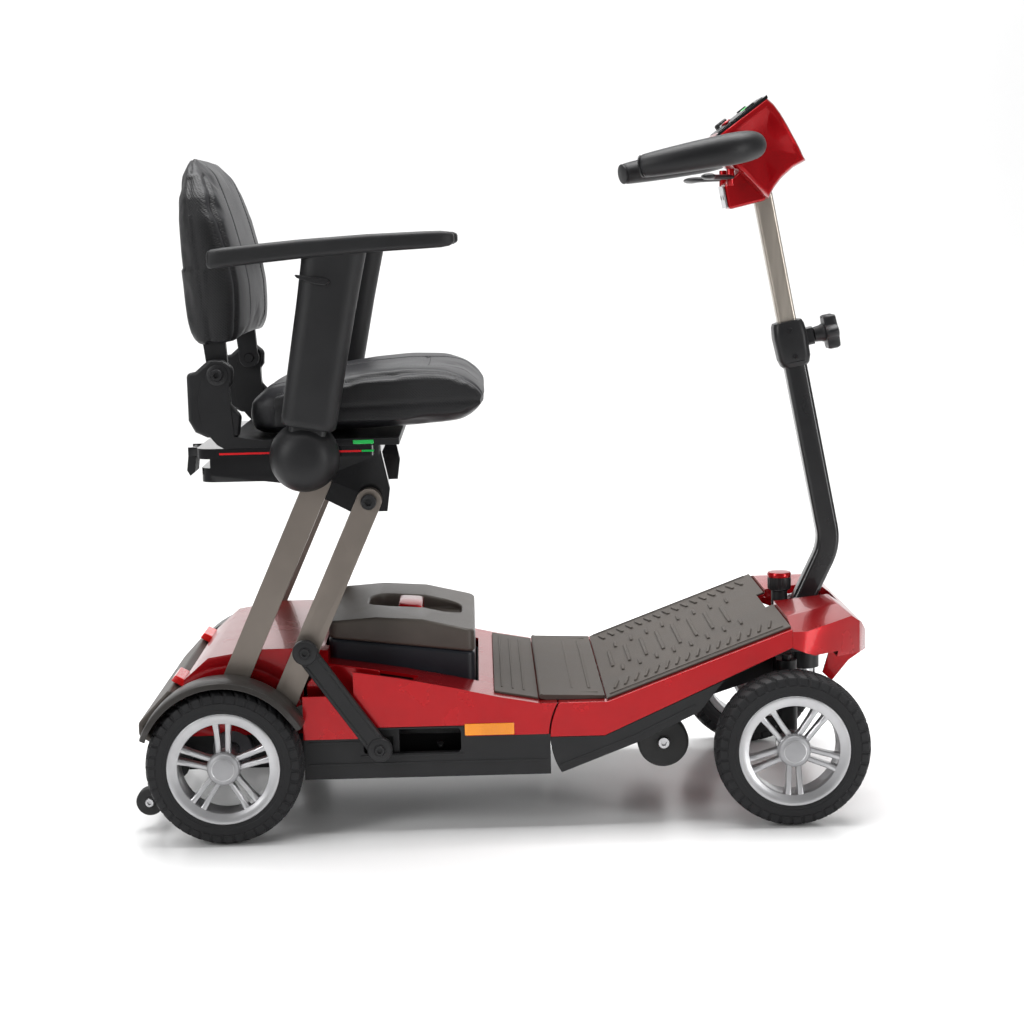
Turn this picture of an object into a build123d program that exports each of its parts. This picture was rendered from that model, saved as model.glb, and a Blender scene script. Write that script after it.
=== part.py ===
"""Folding travel mobility scooter: rear chassis with a lowering seat, and a front chassis
with steering that folds up about a hinge under the deck. Millimetres. +X is forward, +Y is
the rider's left and +Z is up. The origin is on the floor under the middle of the length."""

import os
from math import cos, radians, sin, sqrt

from build123d import *

# ---- driving dimensions ----
WHEELBASE = 720.0
FRONT_OVERHANG = 116.0        # front axle to the tip of the nose
REAR_OVERHANG = 125.0         # rear axle to the back of the anti-tip wheels
TYRE_RADIUS = 100.0
TYRE_WIDTH = 48.0
REAR_TRACK = 456.0
FRONT_TRACK = 424.0
BELLY_HEIGHT = 72.0           # underside of the chassis above the floor
DECK_HEIGHT = 164.0           # flat floor beside the seam
NOSE_HEIGHT = 251.3           # top of the front floor, where the nose begins
POST_LENGTH = 287.8           # between the two pivots of a seat post
POST_LEAN = 24.4              # forward lean of the posts with the seat up, degrees
POST_FOLD = 45.6              # turn of the posts from seat up to seat down, degrees
TILLER_LEAN = 10.7            # backward lean of the tiller, degrees
RUNNING = 0.05                # radial clearance of a pin that turns in its bore
GAP = 0.3                     # air between parts of different bodies that lie close
WALL = 4.0                    # moulded covers

# ---- places, measured forward from the rear axle and up from the floor ----
REAR_AXLE_X = REAR_OVERHANG - (WHEELBASE + FRONT_OVERHANG + REAR_OVERHANG) / 2
TYRE_INNER = (REAR_TRACK - TYRE_WIDTH) / 2            # inner face of a rear tyre
HALF_DECK = TYRE_INNER + 4.0
ARCH_HALF = TYRE_INNER - 32.0                         # half width of the cover between the wheels
HINGE = (500.0, 120.0)                                # mid-deck fold axis
HINGE_RADIUS = 88.0                                   # round end of the front section
SEAM_RADIUS = HINGE_RADIUS + 2.0                      # hollow end of the rear section
FRONT_FOOT = (71.0, 165.0)                            # lower pivot of the front posts
REAR_FOOT = (8.4, 192.3)                              # lower pivot of the rear posts
POST_INNER, POST_OUTER = TYRE_INNER - 26.0, TYRE_INNER - 4.0
POST_DEPTH = 32.0
AXLE_PIN = 12.0                                       # pivot rods and top pins of the posts
LINK_PIN_ALONG = 81.8                                 # drag link pin, up the front post
LINK_LENGTH = 156.2
LINK_WIDTH = 32.0
LINK_PIN = 14.0
LINK_INNER, LINK_OUTER = HALF_DECK + 5.0, HALF_DECK + 13.0
SLOT = (174.0, 298.0, 103.0, 135.0)                   # slot in the skirt: x, x, z, z
BACK_HINGE = (5.5, 589.5)
ARM_PIVOT = (113.0, 487.0)
ARM_LEAN = 10.4
SEAT_TRAVEL = 100.0                                   # seat slide, rearward
CREASE_X = 486.0                                      # where the front floor starts to rise
NOSE_X = WHEELBASE + 2.0                              # and where it meets the nose
FLOOR_RISE = (NOSE_HEIGHT - DECK_HEIGHT) / (NOSE_X - CREASE_X)
STEER_X = WHEELBASE + 50.0
KINGPIN_Y = FRONT_TRACK / 2 - 47.0
CRANK = 40.0                                          # steering crank and knuckle arms
TILLER_FOOT = (STEER_X - 5.0, 245.0)
TILLER_STRAIGHT = (STEER_X - 12.5, 577.0)             # top of the bent lower tube
HEAD_Z = 862.0                                        # handlebar centre at the head

WELL_X = 98.0                                         # front wall of the rear wheel wells
RIDGE = [(WELL_X, 220), (139, 214.6), (223, 200.8), (286, 188), (349, 173.5), (387, 166.7),
         (400, DECK_HEIGHT)]
COVER_BACK = -62.0

SIDES = (("left", 1), ("right", -1))
os.makedirs("parts", exist_ok=True)


def side(y):
    """Upright plane at y: local x is forward of the rear axle, local y is height, normal is -Y."""
    return Plane(origin=(REAR_AXLE_X, y, 0), x_dir=(1, 0, 0), z_dir=(0, -1, 0))


def slab(hand, inner, outer):
    """The side plane from which extruding outer - inner fills that span on one side."""
    return side(max(hand * inner, hand * outer))


def level(z):
    """Level plane at height z: local x is forward of the rear axle, local y is +Y."""
    return Plane(origin=(REAR_AXLE_X, 0, z))


def tiller_side(y):
    """Upright plane at y whose local x is measured forward of the steering axis."""
    return Plane(origin=(REAR_AXLE_X + STEER_X, y, 0), x_dir=(1, 0, 0), z_dir=(0, -1, 0))


def tiller_level(z):
    """Level plane at height z whose local x is measured forward of the steering axis."""
    return Plane(origin=(REAR_AXLE_X + STEER_X, 0, z))


def across(x):
    """Upright plane square to the scooter at x: local x is +Y, local y is height, normal is +X."""
    return Plane(origin=(REAR_AXLE_X + x, 0, 0), x_dir=(0, 1, 0), z_dir=(1, 0, 0))


def along_post(foot, distance, lean=POST_LEAN):
    """Point on a post's centre line at a distance up from its foot."""
    return (foot[0] + distance * sin(radians(lean)), foot[1] + distance * cos(radians(lean)))


def floor_height(x):
    """Height of the front floor at x."""
    return DECK_HEIGHT + max(0.0, x - CREASE_X) * FLOOR_RISE


def forward(share):
    """X at a share of the way from the crease to the nose."""
    return CREASE_X + share * (NOSE_X - CREASE_X)


def arc_end(radius, z):
    """X of the fold hinge's arc at height z, on its rear side."""
    return HINGE[0] - sqrt(radius ** 2 - (z - HINGE[1]) ** 2)


def ridge_height(x):
    """Height of the rear cover's side ridge at x."""
    for (x0, z0), (x1, z1) in zip(RIDGE, RIDGE[1:]):
        if x <= x1:
            return z0 + (z1 - z0) * (x - x0) / (x1 - x0)
    return DECK_HEIGHT


def back_face(z):
    """X of the rear cover's back wall at height z."""
    return COVER_BACK + (z - 150) / 8


def keep(piece, name):
    piece.part.label = name
    export_step(piece.part, f"parts/{name}.step")


FRONT_TOP = along_post(FRONT_FOOT, POST_LENGTH)
REAR_TOP = along_post(REAR_FOOT, POST_LENGTH)
LINK_TOP = along_post(FRONT_FOOT, LINK_PIN_ALONG)
LINK_REST_Z = 112.0
LINK_FOOT = (LINK_TOP[0] + sqrt(LINK_LENGTH ** 2 - (LINK_TOP[1] - LINK_REST_Z) ** 2), LINK_REST_Z)
LINK_TOP_FOLDED = along_post(FRONT_FOOT, LINK_PIN_ALONG, POST_LEAN + POST_FOLD)
LINK_FOOT_FOLDED = LINK_TOP_FOLDED[0] + sqrt(LINK_LENGTH ** 2 - (LINK_TOP_FOLDED[1] - LINK_REST_Z) ** 2)


# =============== wheels ===============

BEAD_RADIUS = TYRE_RADIUS - 32.0
RIM_LIP = BEAD_RADIUS - 10.0
SHOULDER = TYRE_RADIUS - 6.0
HUB_RADIUS = 20.5
CAP_PROUD = 27.0              # outer face of the hub cap from the tyre's middle
STUB = 12.0                   # front stub axle
HALF_SHAFT = 16.0
SHAFT_INNER_END = 118.0       # inner end of a half shaft, from the centre plane
SPOKES = 5


HALF_TYRE = TYRE_WIDTH / 2
AXLES = (("rear", 0.0, REAR_TRACK, 90.0), ("front", WHEELBASE, FRONT_TRACK, -90.0))

for axle, axle_x, track, spoke_angle in AXLES:
    for hand_name, hand in SIDES:
        centre = (REAR_AXLE_X + axle_x, hand * track / 2, TYRE_RADIUS)
        section = Plane(origin=centre, x_dir=(0, 0, 1), z_dir=(-hand, 0, 0))
        hub = Plane(origin=centre, x_dir=(-hand, 0, 0), z_dir=(0, hand, 0))
        spin = Axis(centre, (0, 1, 0))

        with BuildPart() as tyre:
            with BuildSketch(section):
                with BuildLine():
                    bead = Polyline((BEAD_RADIUS, HALF_TYRE - 5), (BEAD_RADIUS + 4, HALF_TYRE - 1),
                                    (SHOULDER - 10, HALF_TYRE), (SHOULDER, HALF_TYRE - 3))
                    crown = ThreePointArc(bead @ 1, (TYRE_RADIUS, 0), (SHOULDER, 3 - HALF_TYRE))
                    Polyline(crown @ 1, (SHOULDER - 10, -HALF_TYRE), (BEAD_RADIUS + 4, 1 - HALF_TYRE),
                             (BEAD_RADIUS, 5 - HALF_TYRE), bead @ 0)
                make_face()
            revolve(axis=spin)
        keep(tyre, f"{axle}_tyre_{hand_name}")

        with BuildPart() as rim:
            with BuildSketch(section):
                with Locations(((RIM_LIP + BEAD_RADIUS) / 2, 0)):
                    Rectangle(BEAD_RADIUS - RIM_LIP, TYRE_WIDTH - 10)
                with Locations((HUB_RADIUS / 2, (CAP_PROUD - 15) / 2)):
                    Rectangle(HUB_RADIUS, CAP_PROUD + 15)
            revolve(axis=spin)
            with BuildSketch(hub.offset(3)):
                with PolarLocations(0, SPOKES, start_angle=spoke_angle):
                    with Locations(((RIM_LIP + HUB_RADIUS) / 2, 6.5), ((RIM_LIP + HUB_RADIUS) / 2, -6.5)):
                        Rectangle(RIM_LIP - HUB_RADIUS + 6, 5)
            extrude(amount=11)
            if axle == "front":
                with BuildSketch(hub.offset(-15)):
                    Circle(STUB / 2 + RUNNING)
                extrude(amount=33, mode=Mode.SUBTRACT)
            else:
                with BuildSketch(hub.offset(SHAFT_INNER_END - track / 2)):
                    Circle(HALF_SHAFT / 2)
                extrude(amount=track / 2 - SHAFT_INNER_END)
            fillet(rim.faces().sort_by(Axis((0, 0, 0), (0, hand, 0)))[-1].edges(), 4)
        keep(rim, f"{axle}_rim_{hand_name}")

ANTI_TIP_RADIUS = 18.0
ANTI_TIP = (ANTI_TIP_RADIUS - REAR_OVERHANG, 38.0)
ANTI_TIP_INNER, ANTI_TIP_OUTER = 154.0, 172.0
ANTI_TIP_SHAFT = 8.0

with BuildPart() as anti_tip_wheels:
    for hand_name, hand in SIDES:
        with BuildSketch(slab(hand, ANTI_TIP_INNER, ANTI_TIP_OUTER)):
            with Locations(ANTI_TIP):
                Circle(ANTI_TIP_RADIUS)
        extrude(amount=ANTI_TIP_OUTER - ANTI_TIP_INNER)
    with BuildSketch(side(0)):
        with Locations(ANTI_TIP):
            Circle(ANTI_TIP_SHAFT / 2)
    extrude(amount=ANTI_TIP_INNER + 1, both=True)
keep(anti_tip_wheels, "anti_tip_wheels")

ROLLER = (559.0, 101.0)
ROLLER_RADIUS = 33.0
ROLLER_INNER, ROLLER_OUTER = 150.0, 176.0
ROLLER_SHAFT = 10.0

with BuildPart() as floor_rollers:
    for hand_name, hand in SIDES:
        with BuildSketch(slab(hand, ROLLER_INNER, ROLLER_OUTER)):
            with Locations(ROLLER):
                Circle(ROLLER_RADIUS)
        extrude(amount=ROLLER_OUTER - ROLLER_INNER)
    with BuildSketch(side(0)):
        with Locations(ROLLER):
            Circle(ROLLER_SHAFT / 2)
    extrude(amount=ROLLER_INNER + 1, both=True)
keep(floor_rollers, "floor_rollers")


# =============== rear chassis ===============

RAIL_INNER, RAIL_OUTER = 96.0, 126.0
RAIL_BOTTOM, RAIL_TOP = 80.0, 108.0
PLATE_INNER, PLATE_OUTER = 120.0, 134.0
ARM_OUTER = RAIL_INNER + 16.0             # hinge arms that reach into the front section
AXLE_TUBE_RADIUS = 26.0
TRAY_FRONT = 412.0

with BuildPart() as rear_frame:
    for hand_name, hand in SIDES:
        with BuildSketch(slab(hand, RAIL_INNER, RAIL_OUTER)):
            Polygon((45, RAIL_BOTTOM), (396, RAIL_BOTTOM), (396, RAIL_TOP), (45, RAIL_TOP), align=None)
        extrude(amount=RAIL_OUTER - RAIL_INNER)
        with BuildSketch(slab(hand, PLATE_INNER, PLATE_OUTER)):
            Polygon((-76, 82), (-60, 70), (60, 70), (100, 84), (92, 176), (28, 210), (-12, 208), (-50, 128),
                    (-64, 118), (-76, 112), align=None)
            with Locations((0, TYRE_RADIUS)):
                Circle(AXLE_TUBE_RADIUS, mode=Mode.SUBTRACT)
        extrude(amount=PLATE_OUTER - PLATE_INNER)
        with BuildSketch(slab(hand, RAIL_INNER, ARM_OUTER)):
            Polygon((370, RAIL_BOTTOM), (404, RAIL_BOTTOM), (420, 108), HINGE, (500, HINGE[1] + 12),
                    (396, HINGE[1] + 12), align=None)
            with Locations(HINGE):
                Circle(12)
        extrude(amount=ARM_OUTER - RAIL_INNER)
        with BuildSketch(slab(hand, PLATE_INNER, ANTI_TIP_INNER - 1)):
            Polygon((-76, 82), (-60, 70), (-50, 96), (-76, 104), align=None)
        extrude(amount=ANTI_TIP_INNER - 1 - PLATE_INNER)
        with BuildSketch(slab(hand, ANTI_TIP_INNER - 11, ANTI_TIP_INNER - 1)):
            Polygon((-50, 96), (-76, 104), (-118, 40), (-107, 28), (-97, 34), (-60, 70), align=None)
            with Locations(ANTI_TIP):
                Circle(11)
        extrude(amount=10)
    with BuildSketch(side(0)):
        Polygon((-76, 84), (-60, 84), (-60, 112), (-76, 112), align=None)
        Polygon((48, 84), (62, 84), (62, 132), (48, 132), align=None)
        Polygon((384, RAIL_BOTTOM), (396, RAIL_BOTTOM), (396, RAIL_TOP), (384, RAIL_TOP), align=None)
    extrude(amount=PLATE_INNER + 1, both=True)
    with BuildSketch(side(0)):
        with Locations(FRONT_FOOT, REAR_FOOT, HINGE):
            Circle(AXLE_PIN / 2)
        with Locations(ANTI_TIP):
            Circle(ANTI_TIP_SHAFT / 2 + RUNNING)
    extrude(amount=REAR_TRACK, both=True, mode=Mode.SUBTRACT)
keep(rear_frame, "rear_frame")

with BuildPart() as pivot_axles:
    with BuildSketch(side(0)):
        with Locations(FRONT_FOOT, REAR_FOOT):
            Circle(AXLE_PIN / 2)
    extrude(amount=POST_OUTER, both=True)
    with BuildSketch(side(0)):
        with Locations(HINGE):
            Circle(AXLE_PIN / 2)
    extrude(amount=ARM_OUTER + 22, both=True)
keep(pivot_axles, "pivot_axles")

MOTOR = (-18.0, 150.0)

with BuildPart() as transaxle:
    with BuildSketch(side(0)):
        with Locations((0, TYRE_RADIUS)):
            Circle(AXLE_TUBE_RADIUS)
    extrude(amount=150, both=True)
    with BuildSketch(side(30)):
        with Locations((0, TYRE_RADIUS)):
            Circle(44)
        with Locations(MOTOR):
            Circle(30)
    extrude(amount=60)
    with BuildSketch(side(0)):
        with Locations((0, TYRE_RADIUS)):
            Circle(HALF_SHAFT / 2 + RUNNING)
    extrude(amount=160, both=True, mode=Mode.SUBTRACT)
keep(transaxle, "transaxle")

with BuildPart() as drive_motor:
    with BuildSketch(side(98)):
        with Locations(MOTOR):
            Circle(27)
    extrude(amount=68)
    with BuildSketch(side(118)):
        with Locations(MOTOR):
            Circle(22)
    extrude(amount=21)
keep(drive_motor, "drive_motor")

ACTUATOR_Y, ACTUATOR_Z = -60.0, 119.0
ACTUATOR_ROD = 12.0
CARRIAGE_BACK = LINK_FOOT[0] - 12.0

with BuildPart() as fold_actuator:
    with BuildSketch(across(62)):
        with Locations((ACTUATOR_Y, ACTUATOR_Z)):
            Circle(17)
        with Locations((ACTUATOR_Y - 22, ACTUATOR_Z)):
            Circle(13)
    extrude(amount=CARRIAGE_BACK - 5 - 62)
    with BuildSketch(across(72)):
        with Locations((ACTUATOR_Y, ACTUATOR_Z)):
            Circle(ACTUATOR_ROD / 2 + RUNNING)
    extrude(amount=CARRIAGE_BACK, mode=Mode.SUBTRACT)
keep(fold_actuator, "fold_actuator")

LEDGE_TOP = 100.0
LEDGE_INNER = HALF_DECK - 24.0
WINDOW = (-LINK_PIN / 2 - 1.0, LINK_PIN / 2 + 9.0, -LINK_PIN / 2 - 1.5, LINK_PIN / 2 + 5.0)

with BuildPart() as link_carriage:
    with BuildSketch(side(0)):
        with Locations((LINK_FOOT[0], 119)):
            Rectangle(24, 14)
    extrude(amount=LEDGE_INNER + 2, both=True)
    for hand_name, hand in SIDES:
        with BuildSketch(slab(hand, LEDGE_INNER, LEDGE_INNER + 16)):
            with Locations((LINK_FOOT[0] + 4, LEDGE_TOP + GAP + 17)):
                Rectangle(40, 34)
        extrude(amount=16)
        with BuildSketch(slab(hand, LEDGE_INNER + 3, LEDGE_INNER + 16)):
            with Locations((LINK_FOOT[0] + (WINDOW[0] + WINDOW[1]) / 2,
                           LINK_FOOT[1] + (WINDOW[2] + WINDOW[3]) / 2)):
                Rectangle(WINDOW[1] - WINDOW[0], WINDOW[3] - WINDOW[2])
        extrude(amount=13, mode=Mode.SUBTRACT)
    with BuildSketch(across(76)):
        with Locations((ACTUATOR_Y, ACTUATOR_Z)):
            Circle(ACTUATOR_ROD / 2)
    extrude(amount=CARRIAGE_BACK + 2 - 76)
keep(link_carriage, "link_carriage")

with BuildPart() as rear_lower_body:
    with BuildSketch(side(0)):
        Polygon((WELL_X, BELLY_HEIGHT), (TRAY_FRONT, BELLY_HEIGHT), (TRAY_FRONT, 124), (SLOT[1] + 6, 124),
                (SLOT[1] + 6, 137), (SLOT[0] - 6, 137), (SLOT[0] - 6, 124), (WELL_X, 124), align=None)
    extrude(amount=HALF_DECK, both=True)
    with BuildSketch(side(0)):
        Polygon((WELL_X - 1, BELLY_HEIGHT + 3), (TRAY_FRONT + 1, BELLY_HEIGHT + 3), (TRAY_FRONT + 1, 140),
                (WELL_X - 1, 140), align=None)
    extrude(amount=HALF_DECK - 6, both=True, mode=Mode.SUBTRACT)
    for hand_name, hand in SIDES:
        with BuildSketch(slab(hand, LEDGE_INNER, HALF_DECK - 5)):
            Polygon((166, BELLY_HEIGHT + 1), (330, BELLY_HEIGHT + 1), (330, LEDGE_TOP), (166, LEDGE_TOP),
                    align=None)
        extrude(amount=HALF_DECK - 5 - LEDGE_INNER)
        with BuildSketch(slab(hand, HALF_DECK - 8, HALF_DECK + 1)):
            with Locations(((SLOT[0] + SLOT[1]) / 2, (SLOT[2] + SLOT[3]) / 2)):
                RectangleRounded(SLOT[1] - SLOT[0], SLOT[3] - SLOT[2], 6)
        extrude(amount=9, mode=Mode.SUBTRACT)
keep(rear_lower_body, "rear_lower_body")

DOCK = (124.0, 322.0, 278.0)              # battery bay: x, x, width
BAY_FLOOR = 146.0
HUMP_TOP = 236.0


INNER_DECK = DECK_HEIGHT - WALL
SEAM_INNER = SEAM_RADIUS + WALL

with BuildPart() as rear_cover:
    with BuildSketch(side(0)):
        with BuildLine():
            top = Polyline(*RIDGE, (arc_end(SEAM_RADIUS, DECK_HEIGHT), DECK_HEIGHT))
            seam = ThreePointArc(top @ 1, (arc_end(SEAM_RADIUS, 142), 142), (arc_end(SEAM_RADIUS, 124), 124))
            Polyline(seam @ 1, (WELL_X, 124), top @ 0)
        make_face()
    extrude(amount=HALF_DECK, both=True)
    with BuildSketch(side(0)):
        Polygon((back_face(124), 124), (WELL_X + 1, 124), (WELL_X + 1, HUMP_TOP), (40, HUMP_TOP), (-24, 226),
                (back_face(198), 198), align=None)
        Polygon((WELL_X, 200), (DOCK[0] + 6, 200), (DOCK[0] + 6, HUMP_TOP - WALL), (WELL_X, HUMP_TOP),
                align=None)
    extrude(amount=ARCH_HALF, both=True)
    with BuildSketch(side(0)):
        with BuildLine():
            top = Polyline((WELL_X - 1, RIDGE[0][1] - WALL), *[(x, z - WALL) for x, z in RIDGE],
                           (arc_end(SEAM_INNER, INNER_DECK), INNER_DECK))
            seam = ThreePointArc(top @ 1, (arc_end(SEAM_INNER, 142), 142), (arc_end(SEAM_INNER, 123), 123))
            Polyline(seam @ 1, (WELL_X - 1, 123), top @ 0)
        make_face()
    extrude(amount=HALF_DECK - WALL, both=True, mode=Mode.SUBTRACT)
    with BuildSketch(side(0)):
        Polygon((back_face(120) + WALL, 120), (DOCK[0] - 2, 120), (DOCK[0] - 2, HUMP_TOP - 2 * WALL),
                (40, HUMP_TOP - WALL), (-22, 226 - WALL), (back_face(196) + WALL, 196), align=None)
    extrude(amount=ARCH_HALF - WALL, both=True, mode=Mode.SUBTRACT)
    with BuildSketch(level(100)):
        with Locations(((DOCK[0] + DOCK[1]) / 2, 0)):
            Rectangle(DOCK[1] - DOCK[0], DOCK[2])
    extrude(amount=160, mode=Mode.SUBTRACT)
    for hand_name, hand in SIDES:
        with BuildSketch(slab(hand, RAIL_INNER - 4, ARM_OUTER + 4)):
            Polygon((390, 120), (425, 120), (425, HINGE[1] + 16), (390, HINGE[1] + 16), align=None)
        extrude(amount=ARM_OUTER - RAIL_INNER + 8, mode=Mode.SUBTRACT)
        with BuildSketch(slab(hand, POST_INNER - 3, HALF_DECK - WALL - 1)):
            Polygon((WELL_X - 2, 100), (WELL_X + 6, 146), (245, 196), (245, 250), (WELL_X - 2, 250),
                    align=None)
        extrude(amount=HALF_DECK - WALL - 1 - POST_INNER + 3, mode=Mode.SUBTRACT)
        with BuildSketch(slab(hand, HALF_DECK - WALL - 2, HALF_DECK + 1)):
            Polygon((WELL_X - 1, 180), (163, 180), (163, 230), (WELL_X - 1, 230), align=None)
            with Locations(((SLOT[0] + SLOT[1]) / 2, (SLOT[2] + SLOT[3]) / 2 + 1)):
                Rectangle(SLOT[1] - SLOT[0] + 14, SLOT[3] - SLOT[2] + 4)
        extrude(amount=WALL + 3, mode=Mode.SUBTRACT)
        with BuildSketch(slab(hand, ARCH_HALF - WALL - 1, ARCH_HALF + 1)):
            with Locations(FRONT_FOOT, REAR_FOOT):
                Circle(AXLE_PIN / 2 + 1)
            with Locations((0, TYRE_RADIUS)):
                Circle(AXLE_TUBE_RADIUS + 4)
        extrude(amount=WALL + 2, mode=Mode.SUBTRACT)
keep(rear_cover, "rear_cover")

with BuildPart() as battery_dock:
    with BuildSketch(level(BAY_FLOOR - 4)):
        with Locations(((DOCK[0] + DOCK[1]) / 2, 0)):
            Rectangle(DOCK[1] - DOCK[0], DOCK[2])
    extrude(amount=26)
    with BuildSketch(level(BAY_FLOOR)):
        with Locations(((DOCK[0] + DOCK[1]) / 2, 0)):
            Rectangle(DOCK[1] - DOCK[0] - 6, DOCK[2] - 6)
    extrude(amount=30, mode=Mode.SUBTRACT)
    with BuildSketch(level(RAIL_TOP)):
        for hand_name, hand in SIDES:
            with Locations((DOCK[0] + 16, hand * (RAIL_INNER + 15)),
                           (DOCK[1] - 12, hand * (RAIL_INNER + 15))):
                Rectangle(20, 22)
    extrude(amount=BAY_FLOOR - 4 - RAIL_TOP)
keep(battery_dock, "battery_dock")

BATTERY_BACK, BATTERY_FRONT = DOCK[0] + 4.0, DOCK[1] - 4.0
BATTERY_WIDTH = DOCK[2] - 10.0
SPLIT_BACK, SPLIT_FRONT = 240.0, 217.0

with BuildPart() as battery_case:
    with BuildSketch(side(0)):
        Polygon((BATTERY_BACK, BAY_FLOOR + GAP), (BATTERY_FRONT, BAY_FLOOR + GAP),
                (BATTERY_FRONT, SPLIT_FRONT), (BATTERY_BACK, SPLIT_BACK), align=None)
    extrude(amount=BATTERY_WIDTH / 2, both=True)
    fillet(battery_case.edges().filter_by(Axis.Z), 12)
keep(battery_case, "battery_case")

with BuildPart() as battery_cover:
    with BuildSketch(side(0)):
        Polygon((BATTERY_BACK, SPLIT_BACK), (BATTERY_FRONT, SPLIT_FRONT), (BATTERY_FRONT, 246), (250, 262),
                (190, 266), (BATTERY_BACK, 262), align=None)
    extrude(amount=BATTERY_WIDTH / 2, both=True)
    fillet(battery_cover.edges().filter_by(Axis.Z), 12)
    with BuildSketch(level(242)):
        with Locations((238, 0)):
            RectangleRounded(124, 90, 30)
    extrude(amount=40, mode=Mode.SUBTRACT)
keep(battery_cover, "battery_cover")

with BuildPart() as battery_handle:
    with BuildSketch(side(0)):
        Polygon((215, 245), (218, 266), (246, 263), (249, 243), (243, 243), (240, 256), (223, 259),
                (221, 244), align=None)
    extrude(amount=44.7, both=True)
keep(battery_handle, "battery_handle")

with BuildPart() as rear_fenders:
    for hand_name, hand in SIDES:
        with BuildSketch(slab(hand, TYRE_INNER + 0.5, REAR_TRACK / 2 + 25)):
            with BuildLine():
                inner = CenterArc((0, TYRE_RADIUS), TYRE_RADIUS + 8, 30, 129)
                outer = CenterArc((0, TYRE_RADIUS), TYRE_RADIUS + 11.5, 30, 129)
                Line(inner @ 0, outer @ 0)
                Line(inner @ 1, outer @ 1)
            make_face()
        extrude(amount=REAR_TRACK / 2 + 25 - TYRE_INNER - 0.5)
        with BuildSketch(slab(hand, TYRE_INNER + 0.5, HALF_DECK)):
            Polygon((TYRE_RADIUS - 8, TYRE_RADIUS + 52), (WELL_X, TYRE_RADIUS + 50),
                    (WELL_X, TYRE_RADIUS + 68), (TYRE_RADIUS - 11, TYRE_RADIUS + 64), align=None)
        extrude(amount=HALF_DECK - TYRE_INNER - 0.5)
keep(rear_fenders, "rear_fenders")

BUMPER_HALF = TYRE_INNER - 2.0

with BuildPart() as rear_bumper:
    with BuildSketch(side(0)):
        Polygon((back_face(128), 128), (back_face(182), 182), (-72, 192), (-112, 150), (-112, 134),
                (-98, 124), (-94, 130), (-104, 140), (-104, 146), (-72, 178), (-72, 128), align=None)
    extrude(amount=BUMPER_HALF, both=True)
keep(rear_bumper, "rear_bumper")

with BuildPart() as reflectors:
    for hand_name, hand in SIDES:
        with BuildSketch(slab(hand, HALF_DECK, HALF_DECK + 2)):
            with Locations((334.5, 132.5)):
                RectangleRounded(63, 16, 2)
        extrude(amount=2)
        with BuildSketch(slab(hand, 110, 165)):
            Polygon((back_face(186), 186), (back_face(197), 197), (-68, 203), (-74, 196), align=None)
        extrude(amount=55)
keep(reflectors, "reflectors")

REAR_MAT = (342.0, 398.0)
MAT_THICK = 3.0

with BuildPart() as rear_mat:
    with BuildSketch(side(0)):
        mat_line = [(x, ridge_height(x)) for x in (REAR_MAT[0], 349, 387, REAR_MAT[1])]
        Polygon(*mat_line, *[(x, z + MAT_THICK) for x, z in reversed(mat_line)], align=None)
    extrude(amount=HALF_DECK - 20, both=True)
keep(rear_mat, "rear_mat")


# =============== front section ===============

NOSE_TIP = WHEELBASE + FRONT_OVERHANG
FRONT_RAIL_INNER, FRONT_RAIL_OUTER = ARM_OUTER + 2.0, ARM_OUTER + 20.0
KINGPIN_TUBE = 13.0
KINGPIN = 12.0
HEAD_TUBE = 20.0
STEM = 24.0

with BuildPart() as front_frame:
    for hand_name, hand in SIDES:
        with BuildSketch(slab(hand, FRONT_RAIL_INNER, FRONT_RAIL_OUTER)):
            Polygon((490, 116), (500, 110), (508, 112.5), (WHEELBASE - 30, 172), (WHEELBASE + 15, 184),
                    (WHEELBASE + 15, 206), (WHEELBASE - 30, 200), (500, 134), (490, 126), align=None)
        extrude(amount=FRONT_RAIL_OUTER - FRONT_RAIL_INNER)
        with BuildSketch(slab(hand, FRONT_RAIL_INNER, ROLLER_INNER - 1)):
            Polygon((549, 92), (569, 92), (575, 134), (545, 134), align=None)
        extrude(amount=ROLLER_INNER - 1 - FRONT_RAIL_INNER)
        with BuildSketch(level(166)):
            with Locations((WHEELBASE, hand * KINGPIN_Y)):
                Circle(KINGPIN_TUBE)
        extrude(amount=38)
    with BuildSketch(level(184)):
        with Locations((WHEELBASE, 0)):
            Rectangle(24, 2 * KINGPIN_Y)
        with Locations((WHEELBASE + 25, 0)):
            Rectangle(50, 60)
        with Locations((STEER_X, 0)):
            Circle(HEAD_TUBE)
    extrude(amount=20)
    with BuildSketch(level(158)):
        with Locations((STEER_X, 0)):
            Circle(HEAD_TUBE)
    extrude(amount=66)
    with BuildSketch(level(150)):
        with Locations((STEER_X, 0)):
            Circle(STEM / 2 + RUNNING)
        with Locations((WHEELBASE, KINGPIN_Y), (WHEELBASE, -KINGPIN_Y)):
            Circle(KINGPIN / 2 + RUNNING)
    extrude(amount=80, mode=Mode.SUBTRACT)
    with BuildSketch(side(0)):
        with Locations(HINGE):
            Circle(AXLE_PIN / 2 + RUNNING)
        with Locations(ROLLER):
            Circle(ROLLER_SHAFT / 2 + RUNNING)
    extrude(amount=200, both=True, mode=Mode.SUBTRACT)
keep(front_frame, "front_frame")


SILL_TIP = (forward(0.631), 188.0)        # foremost point of the black underbody
SILL_FRONT = (forward(0.496), 147.5)
SILL_BEND = (forward(0.148), 109.0)

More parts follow.
